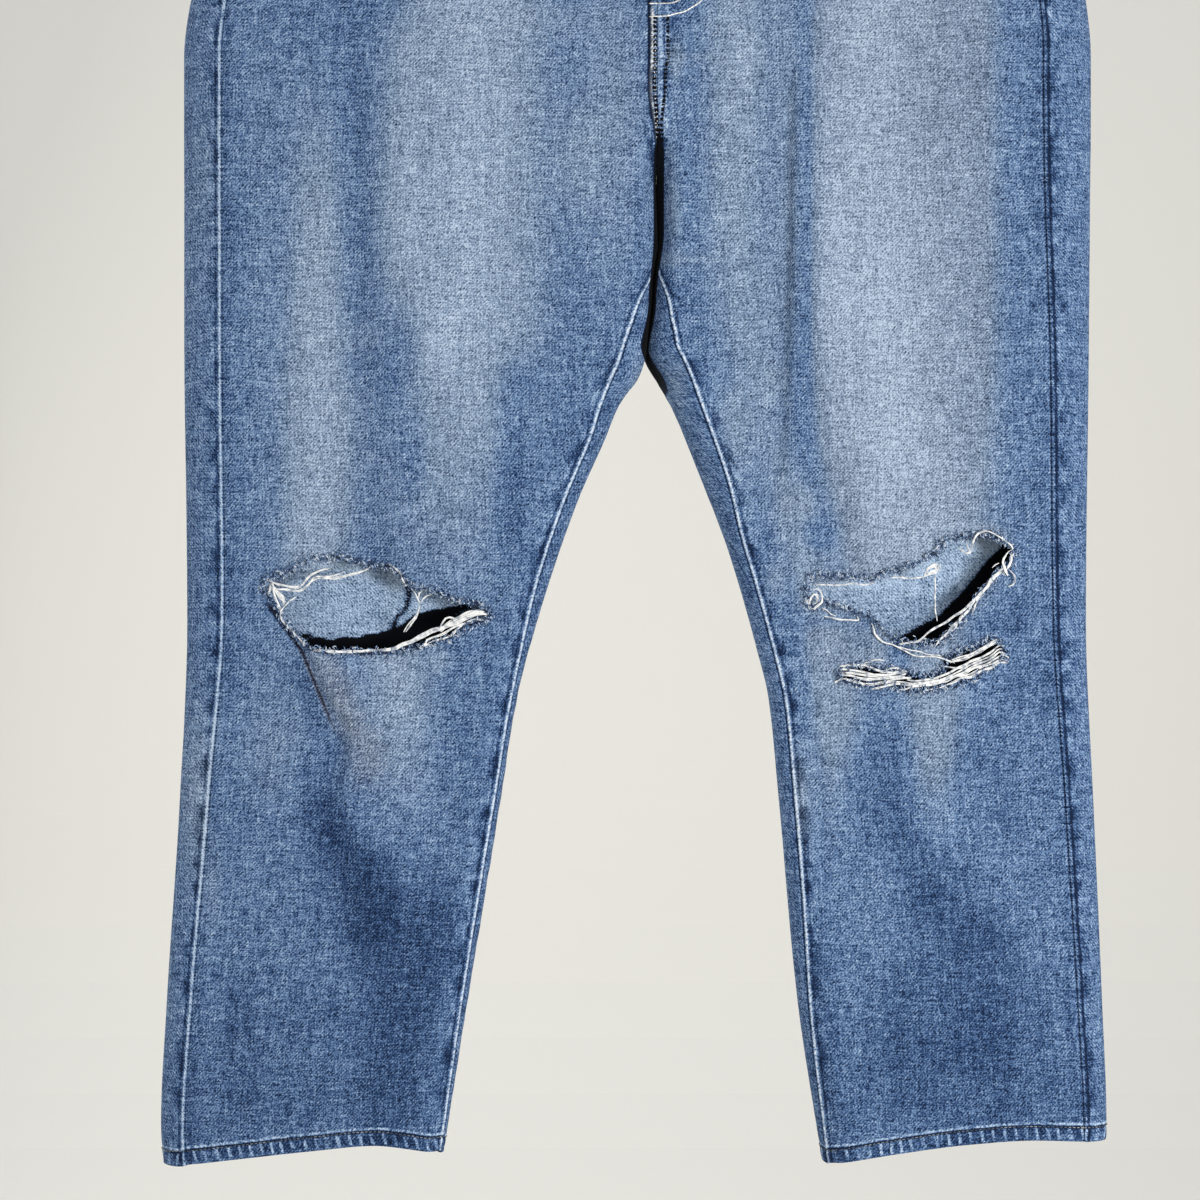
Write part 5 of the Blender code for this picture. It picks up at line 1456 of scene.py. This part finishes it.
def layBand():
    g, b = garment, band
    drop = np.array(b["rows"], dtype=float)
    edge = np.minimum(drop, g["bandDepth"] - drop)
    soft = b["softness"] * (1 - roll(edge, b["edge"]))[:, None]
    run = np.arange(len(bandPoints([b["level"]], 0.0)[0])) * b["step"]
    pucker = b["pucker"] * crest(edge - 5, 6)[:, None] * waviness(run, run, 4)[None, :]
    ends = np.minimum(run, run[::-1])[None, :]
    outer = bandPoints(drop, g["bandProud"])
    lifted = bandPoints(drop, g["bandProud"] + 1) - outer
    outer = outer + lifted * (pucker - soft)[..., None]
    inner = bandPoints(drop, g["bandProud"] - g["bandWall"]) + lifted * (soft * 0.6)[..., None]
    fade = b["fade"] + 0.1 * np.sin(run / 61)[None, :] * np.sin(run / 23) - 0.1 * (edge[:, None] > 34)
    maps = plainMaps(drop[:, None], run[None, :], np.minimum(edge[:, None], ends), fade)
    return makeCloth("waistband_strip", outer, inner, maps)


loops = {
    "half": 5.5, "wall": 1.8, "edge": 0.9, "softness": 0.5, "rows": 47, "columns": 11,
    "fade": 0.42, "rubbed": (0.2, 20, 12),
    "places": (("front", -95), ("front", 95), ("back", -125), ("back", 0), ("back", 125)),
    "lift": ((1, 0.95), (6, 1.0), (12, 2.2), (20, 2.8), (28, 2.2), (34, 1.0), (40, 0.95), (43, 0.4),
             (47, 0.3)),
}


def layLoop(name, wall, middle):
    # a strip with its ends sewn down, most faded where it stands out
    b = loops
    drop = np.linspace(b["lift"][0][0], b["lift"][-1][0], b["rows"])[:, None]
    x = b["half"] * np.sin(np.linspace(-1, 1, b["columns"]) * pi / 2)[None, :]
    edge = b["half"] - np.abs(x)
    lift = readTable(b["lift"], drop)
    soft = b["softness"] * (1 - roll(edge, b["edge"]))
    outer = acrossCentre(wall, drop, middle + x, lift + b["wall"] - soft)
    inner = acrossCentre(wall, drop, middle + x, lift)
    amount, level, reach = b["rubbed"]
    fade = b["fade"] + amount * crest(drop - level, reach)
    return makeCloth(name, outer, inner, plainMaps(x + middle, drop, edge, fade))


backPocket = {
    "centre": 120, "half": 75, "taper": 6, "top": 138, "side": 132, "point": 20, "out": 1.6, "wall": 1.3,
    "edge": 1.2, "softness": 0.7, "rows": 72, "columns": 60, "crowded": (0.35, 0.4), "paler": 0.03,
}


def pocketPlaces(u, v, inset=0.0):
    # (across, drop) on the five-sided pocket: u from -1 to 1 across it, v from 0 to 1 down it
    b = backPocket
    top, foot = b["top"] + inset, b["top"] + b["side"] - inset * 0.9
    bottom = foot + b["point"] * (1 - np.abs(u))
    drop = top + v * (bottom - top)
    half = b["half"] - b["taper"] * np.clip((drop - b["top"]) / b["side"], 0, 1) - inset
    return b["centre"] + u * half, drop, bottom, half


def layPocket(name, side):
    b = backPocket
    # rows and columns lie closer together towards the edges
    u = np.linspace(0, 1, b["columns"])[None, :] * 2 - 1
    u = np.sin(u * pi / 2) * b["crowded"][0] + u * (1 - b["crowded"][0])
    v = np.linspace(0, 1, b["rows"])[:, None]
    v = (1 - np.cos(v * pi)) / 2 * b["crowded"][1] + v * (1 - b["crowded"][1])
    across, drop, bottom, half = pocketPlaces(u, v)
    edge = np.minimum(np.minimum(half * (1 - np.abs(u)), bottom - drop), drop - b["top"])
    relief = 0.3 * crest(edge - 5.5, 3) - b["softness"] * (1 - roll(edge, b["edge"]))
    relief = relief + 0.25 * crest(edge - 5, 6) * waviness(across, drop, 5)
    outer = skins[side].onWall("back", drop, across, b["out"] + relief)
    inner = skins[side].onWall("back", drop, across, b["out"] - b["wall"])
    fade = fadeAndShadeAt(side, "back", drop, outer) + b["paler"]
    return makeCloth(name, outer, inner, plainMaps(side * across, drop, edge, fade))


facing = {"from": 88, "width": 212, "layer": 1.7, "rows": 44, "columns": 66, "fade": 0.34,
          "below": ((88, 68), (90, 68), (118, 110), (180, 136), (300, 146))}


def layFacing(name, side):
    # denim behind the pocket's opening, sewn into the outseam
    g, b, skin = garment, facing, skins[side]
    u, v = np.linspace(0, 1, b["columns"])[None, :], np.linspace(0, 1, b["rows"])[:, None]
    bottom = np.interp(b["from"] + u * b["width"], *zip(*b["below"]))
    drop = g["panelTop"] + v * (bottom - g["panelTop"])
    end = skin.seam(skin.outseam, drop) - g["gap"] / 2
    start = skin.runAt("front", drop, np.full(drop.shape, b["from"]))
    run = start + (end - start) * u
    outer, inner = (skin.at(drop, run, -depth) for depth in (b["layer"], b["layer"] + g["cloth"]))
    maps = plainMaps(-side * (end - run), drop, hidden, b["fade"] + 0.06 * np.sin(run / 40))
    return makeCloth(name, outer, inner, maps)


fly = {
    "top": 40.3, "rows": 46,
    "zip": {"reach": (-13, 13), "layer": 1.7, "wall": 1.1, "end": 172, "columns": 14},
    "shield": {"reach": (-12, 34), "layer": 3.1, "wall": 1.4, "end": 180, "columns": 22},
    "tooth": (5.2, 1.5, 1.3), "pitch": 2.3, "stagger": 0.5, "fade": 0.3,
}


def layFlyStrip(name, strip):
    b = fly[strip]
    drop = np.linspace(fly["top"], b["end"], fly["rows"])[:, None]
    x = np.linspace(*b["reach"], b["columns"])[None, :]
    outer, inner = (acrossCentre("front", drop, x, -depth) for depth in (b["layer"], b["layer"] + b["wall"]))
    return makeCloth(name, outer, inner, plainMaps(x, drop, hidden, fly["fade"]))


# The button's profile goes from its crown to its back (share of the radius, height).
button = {
    "radius": 8.5, "steps": 56, "rings": 33, "drop": 19, "x": 13, "weld": 1e-6,
    "profile": ((0, 3.6), (0.28, 3.7), (0.5, 3.2), (0.66, 3.3), (0.88, 3.0), (1.0, 2.0), (0.94, 0.8),
                (0.5, 0.3), (0, 0.3)),
}


def turnButton():
    # domed shank button on the band, with a shallow ring
    b, profile = button, button["profile"]
    radius, steps = b["radius"], b["steps"]
    seat, tip = (acrossCentre("front", b["drop"], b["x"], garment["bandProud"] + out) for out in (0, 1))
    axis = Vector(tip - seat).normalized()
    flat = axis.orthogonal().normalized()
    other = axis.cross(flat)
    share, height = (np.array(column) for column in zip(*profile))
    finer = np.linspace(0, len(profile) - 1, b["rings"])
    share, height = (np.interp(finer, np.arange(len(profile)), column) for column in (share, height))
    turn = np.linspace(0, 2 * pi, steps, endpoint=False)
    points = (seat + radius * share[:, None, None] * (np.cos(turn)[:, None] * flat + np.sin(turn)[:, None]
                                                      * other) + height[:, None, None] * np.array(axis))
    faces = [(r * steps + k, r * steps + (k + 1) % steps, (r + 1) * steps + (k + 1) % steps,
              (r + 1) * steps + k) for r in range(len(share) - 1) for k in range(steps)]
    piece = addMesh("button_turned", points.reshape(-1, 3) * mm, [], faces, "brass")
    turnOut(piece, b["weld"])
    piece.data.shade_smooth()
    return piece


keep(layBand(), "waistband")
for number, (wall, x) in enumerate(loops["places"], start=1):
    keep(layLoop("belt_loop_%d_strip" % number, wall, x), "belt_loop_%d" % number)
for side in (-1, 1):
    keep(layPocket("back_pocket_%s_patch" % words[side], side), "back_pocket_" + words[side])
    keep(layFacing("pocket_facing_%s_patch" % words[side], side), "pocket_facing_" + words[side])
keep(layFlyStrip("zip_tape", "zip"), "zip")
keep(layFlyStrip("fly_shield_strip", "shield"), "fly_shield")
keep(turnButton(), "button")


stitch = {
    "pitch": 2.9, "long": 2.5, "thick": 0.8, "out": 0.2, "hemRow": 9.7, "sides": 5, "rings": 4,
    "fly": {"long": 4.0, "thick": 1.15}, "beads": {"long": 1.3, "thick": 0.9},
    "rise": {"long": 1.6, "thick": 0.8}, "scoopRows": (2.6, 8.6), "scoopTail": (264, 285, 3),
    "yokeRows": (2.4, 8.4), "seatRows": (1.8, 7.8), "seat": (41, 288), "bandRows": (2.8, 35.2),
    "loopRows": (-3.3, 3.3), "loopBars": (2.2, 3.1, 42.6, 43.5), "pocketRows": (2.2, 8.4),
    "pocketHem": (9, 15),
}


def stitchTree():
    # one stretched ball for each stitch, lying along the line and flat on the cloth
    tree = Tree("stitches", (("Pitch", "NodeSocketFloat"), ("Length", "NodeSocketFloat"),
                             ("Thickness", "NodeSocketFloat"), ("Thread", "NodeSocketMaterial")))
    points = spacedPoints(tree)
    outward = tree.add("GeometryNodeInputNamedAttribute", {"data_type": "FLOAT_VECTOR"},
                       {"Name": "outward"})
    turn = tree.add("FunctionNodeAxesToRotation", {"primary_axis": "X", "secondary_axis": "Z"},
                    {0: points.node.outputs["Tangent"], 1: outward})
    ball = tree.add("GeometryNodeMeshUVSphere", {}, {"Segments": stitch["sides"], "Rings": stitch["rings"],
                                                     "Radius": 0.5})
    size = tree.add("ShaderNodeCombineXYZ", {}, {0: tree.given("Length"), 1: tree.given("Thickness"),
                                                 2: tree.given("Thickness")})
    shaped = tree.add("GeometryNodeTransform", {}, {0: ball, "Scale": size})
    smooth = tree.add("GeometryNodeSetShadeSmooth", {}, {0: putAt(tree, points, shaped, turn)})
    tree.close(tree.add("GeometryNodeSetMaterial", {}, {0: smooth, "Material": tree.given("Thread")}))
    return tree


def pathOn(place, *where):
    # (points, outward directions) of a stitched line on a surface given by place(..., out)
    low, high = place(*where, stitch["out"]), place(*where, stitch["out"] + 1)
    return low.reshape(-1, 3), (high - low).reshape(-1, 3)


def stitchRows(name, paths, thread="thread", size=stitch):
    # every path of (points, outward directions) sewn as one piece
    points = np.concatenate([path[0] for path in paths]) * mm
    outward = np.concatenate([path[1] for path in paths])
    edges, start = [], 0
    for path in paths:
        edges += [(start + i, start + i + 1) for i in range(len(path[0]) - 1)]
        start += len(path[0])
    piece = addMesh(name, points, edges, [])
    layer = piece.data.attributes.new("outward", "FLOAT_VECTOR", "POINT")
    layer.data.foreach_set("vector", outward.reshape(-1))
    sewer.grow(piece, Pitch=stitch["pitch"] * mm, Length=size["long"] * mm,
               Thickness=size["thick"] * mm, Thread=finish[thread])
    return attach(piece)


def lapped(drop, x, out):
    # on the fronts beside the centre, where the fly's lap raises them
    side = np.where(x < 0, -1, 1)
    lap = np.where(side < 0, riseLap(-1, np.abs(x), drop), riseLap(1, np.abs(x), drop))
    return acrossCentre("front", drop, x, out + lap)


def smoothPaths(drawn):
    # rows through (x, drop) knots on the fronts beside the centre
    routes = [smoothRoute(knots, 1.5) for knots in drawn]
    return [pathOn(lapped, route[:, 1], route[:, 0]) for route in routes]


# The fly's two J-shaped rows, and the two rows of the lapped rise below them (x, drop).
flyRows = (
    ((45, 41), (45.5, 110), (43, 148), (37, 166), (29.5, 178), (25, 181.5), (18.2, 185.6), (11.5, 187.3),
     (7, 189), (-4, 189.6)),
    ((37, 41), (37.5, 104), (35.5, 138), (31, 156), (24, 169), (17, 176), (11.5, 179), (7, 180.2),
     (-4, 180.4)),
)
riseRows = (
    ((-1.4, 192), (-1.4, 219), (-1.9, 228), (-1.3, 248), (-0.2, 262)),
    ((7.3, 192), (7.3, 217), (5.4, 229), (5.0, 246), (3.6, 262)),
)


def hemPaths(side):
    skin, u = skins[side], np.linspace(0, 1, 160)
    front = skin.hem(u) - stitch["hemRow"]
    back = skin.hem(1 + u) - stitch["hemRow"]
    start, turn, end = (skin.seam(rows, front) for rows in (skin.frontStart, skin.outseam, skin.backEnd))
    run = np.concatenate([start + (turn - start) * u, turn + (end - turn) * u])
    return [pathOn(skin.at, np.concatenate([front, back]), run)]


def scoopPaths(side):
    paths = []
    for wider in stitch["scoopRows"]:
        arc = scoopArc(wider)
        arc = arc[arc[:, 1] > garment["panelTop"] + 2]
        tail = np.arange(*stitch["scoopTail"])
        arc = np.concatenate([arc, np.stack([tail, np.full(len(tail), arc[-1, 1])], axis=1)])
        paths.append(pathOn(partial(skins[side].onWall, "front"), arc[:, 1], arc[:, 0]))
    return paths


def seatPaths(side):
    # two rows on the yoke, and on one half the two rows of the seat seam
    g, skin, u, paths = garment, skins[side], np.linspace(0, 1, 90), []
    for above in stitch["yokeRows"]:
        drop = g["yokeAtSide"] + (g["yokeAtCentre"] - g["yokeAtSide"]) * u - above
        start, end = skin.seam(skin.outseam, drop), skin.seam(skin.backEnd, drop)
        paths.append(pathOn(skin.at, drop, start + (end - start) * u))
    if side > 0:
        drop = np.linspace(*stitch["seat"], 120)
        for inwards in stitch["seatRows"]:
            paths.append(pathOn(skin.at, drop, skin.seam(skin.backEnd, drop) - inwards))
    return paths


def bandPaths():
    paths = []
    for drop in stitch["bandRows"]:
        low, high = (bandPoints([drop], garment["bandProud"] + out)[0] for out in (0.05, 1.05))
        past = int((band["begin"] + band["reach"]) / band["step"]) + 1
        paths.append((low[past:], (high - low)[past:]))
    return paths


def loopPaths():
    paths = []
    for wall, middle in loops["places"]:
        drops = np.linspace(3, 45, 30)
        rows = [(drops, middle + x, -0.1) for x in stitch["loopRows"]]
        rows += [(bar, middle + np.linspace(-5, 5, 6), 0.0) for bar in stitch["loopBars"]]
        for drop, across, sunk in rows:
            lift = readTable(loops["lift"], drop) + loops["wall"] + sunk
            paths.append(pathOn(lambda d, a, o: acrossCentre(wall, d, a, o + lift), drop, across))
    return paths


def pocketPaths(side):
    # two rows down, round the foot and up again, and two rows across the pocket's own hem
    b, rows, share = backPocket, [], np.linspace(0, 1, 60)
    for inset in stitch["pocketRows"]:
        down = pocketPlaces(-1.0, share, inset)[:2]
        foot = pocketPlaces(share * 2 - 1, 1.0, inset)[:2]
        across = np.concatenate([down[0], foot[0], 2 * b["centre"] - down[0][::-1]])
        drop = np.concatenate([down[1], foot[1], down[1][::-1]])
        rows.append((np.maximum(drop, b["top"] + 1.5), across))
    reach = b["half"] - 2
    rows += [(b["top"] + below, b["centre"] + reach * (share * 2 - 1)) for below in stitch["pocketHem"]]
    return [pathOn(lambda d, a, o: skins[side].onWall("back", d, a, o + b["out"]), *row) for row in rows]


def zipTeeth():
    # one row of closed teeth down the middle of the tape
    b = fly
    drops = np.arange(b["top"] + 4, b["zip"]["end"] - 8, b["pitch"])
    depth = b["zip"]["layer"] + b["zip"]["wall"] / 2
    seats = acrossCentre("front", drops, 0 * drops + 0.01, -depth)
    seats[:, 0] = np.where(np.arange(len(drops)) % 2, b["stagger"], -b["stagger"])
    build = bmesh.new()
    for seat in seats:
        for vert in bmesh.ops.create_cube(build, size=1.0)["verts"]:
            vert.co = Vector((seat + np.array(vert.co) * b["tooth"]) * mm)
    mesh = bpy.data.meshes.new("zip_teeth")
    build.to_mesh(mesh)
    build.free()
    mesh.materials.append(finish["brass"])
    return attach(addObject("zip_teeth", mesh))


sewer = stitchTree()
innerRise, outerRise = smoothPaths(riseRows)
sewn = {"front_left": [stitchRows("flyStitches", smoothPaths(flyRows), "flyThread", stitch["fly"]),
                       stitchRows("innerRiseStitches", [innerRise], "flyThread", stitch["beads"]),
                       stitchRows("riseStitches", [outerRise], "darkThread", stitch["rise"])],
        "waistband": [stitchRows("bandStitches", bandPaths())],
        "belt_loop_1": [stitchRows("loopStitches", loopPaths())]}
for side in (-1, 1):
    word = words[side]
    front = sewn.setdefault("front_" + word, [])
    front += [stitchRows("hemStitches_" + word, hemPaths(side), "hemThread"),
              stitchRows("scoopStitches_" + word, scoopPaths(side))]
    sewn["yoke_" + word] = [stitchRows("seatStitches_" + word, seatPaths(side))]
    sewn["back_pocket_" + word] = [stitchRows("pocketStitches_" + word, pocketPaths(side))]
for name, rip in rips.items():
    torn = [bpy.data.objects[name + "Weft"], bpy.data.objects[name + "Fringe"]]
    sewn["front_" + words[rip["side"]]] += torn
sewn["zip"] = [zipTeeth()]

# Each cut piece other than the button has the pieces sewn to it gathered into a list.
for node, piece in made.items():
    if node != "button":
        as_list(sewn.get(node, []))
print("%d sheets declared" % (len(made) - 1))


studio = {
    "camera": (-0.0388, -1.266, -0.584), "lens": 55.15,
    "floor": -2.4, "backdrop": 4.0, "half": 12.0,
    "key": {"at": (1.55, -1.95, -0.70), "aim": (0, 0, -0.55), "power": 62, "size": 0.55},
    "fill": {"at": (-2.2, -2.6, 0.6), "aim": (0, 0, -0.5), "power": 26, "size": 2.4},
    "rear": {"at": (-2.9, 1.3, 0.5), "aim": (0, 0, -0.5), "power": 60, "size": 1.8},
    "sky": 0.62, "skyShade": (236, 240, 246), "paint": (243, 240, 232), "bend": 1.2, "steps": 12,
    "sensor": 36,
}


def makeLight(name):
    s = studio[name]
    light = bpy.data.lights.new(name, "AREA")
    light.energy, light.size = s["power"], s["size"]
    lamp = addObject(name, light)
    lamp.location = s["at"]
    lamp.rotation_euler = (Vector(s["aim"]) - Vector(s["at"])).to_track_quat("-Z", "Y").to_euler()


def makeStage():
    # a floor that bends up into a backdrop
    s, bend = studio, studio["bend"]
    profile = [(-s["half"], s["floor"])]
    for i in range(s["steps"] + 1):
        turn = i / s["steps"] * pi / 2
        profile.append((s["backdrop"] - bend + bend * sin(turn), s["floor"] + bend - bend * cos(turn)))
    profile.append((s["backdrop"], s["half"]))
    points = [(x, y, z) for y, z in profile for x in (-s["half"], s["half"])]
    faces = [(2 * i, 2 * i + 1, 2 * i + 3, 2 * i + 2) for i in range(len(profile) - 1)]
    sweep = addMesh("sweep", points, [], faces)
    sweep.data.materials.append(Look("pale paint", Roughness=0.9).coat(Base_Color=shade(*s["paint"])))


makeStage()
for name in ("key", "fill", "rear"):
    makeLight(name)
world = bpy.data.worlds.new("studio")
scene.world = world
world.use_nodes = True
sky = world.node_tree.nodes["Background"].inputs
sky["Color"].default_value, sky["Strength"].default_value = shade(*studio["skyShade"]), studio["sky"]
lens = bpy.data.cameras.new("camera")
lens.lens, lens.sensor_width = studio["lens"], studio["sensor"]
camera = addObject("camera", lens)
camera.location, camera.rotation_euler = studio["camera"], (radians(90), 0, 0)
scene.camera = camera
scene.view_settings.view_transform = "Standard"
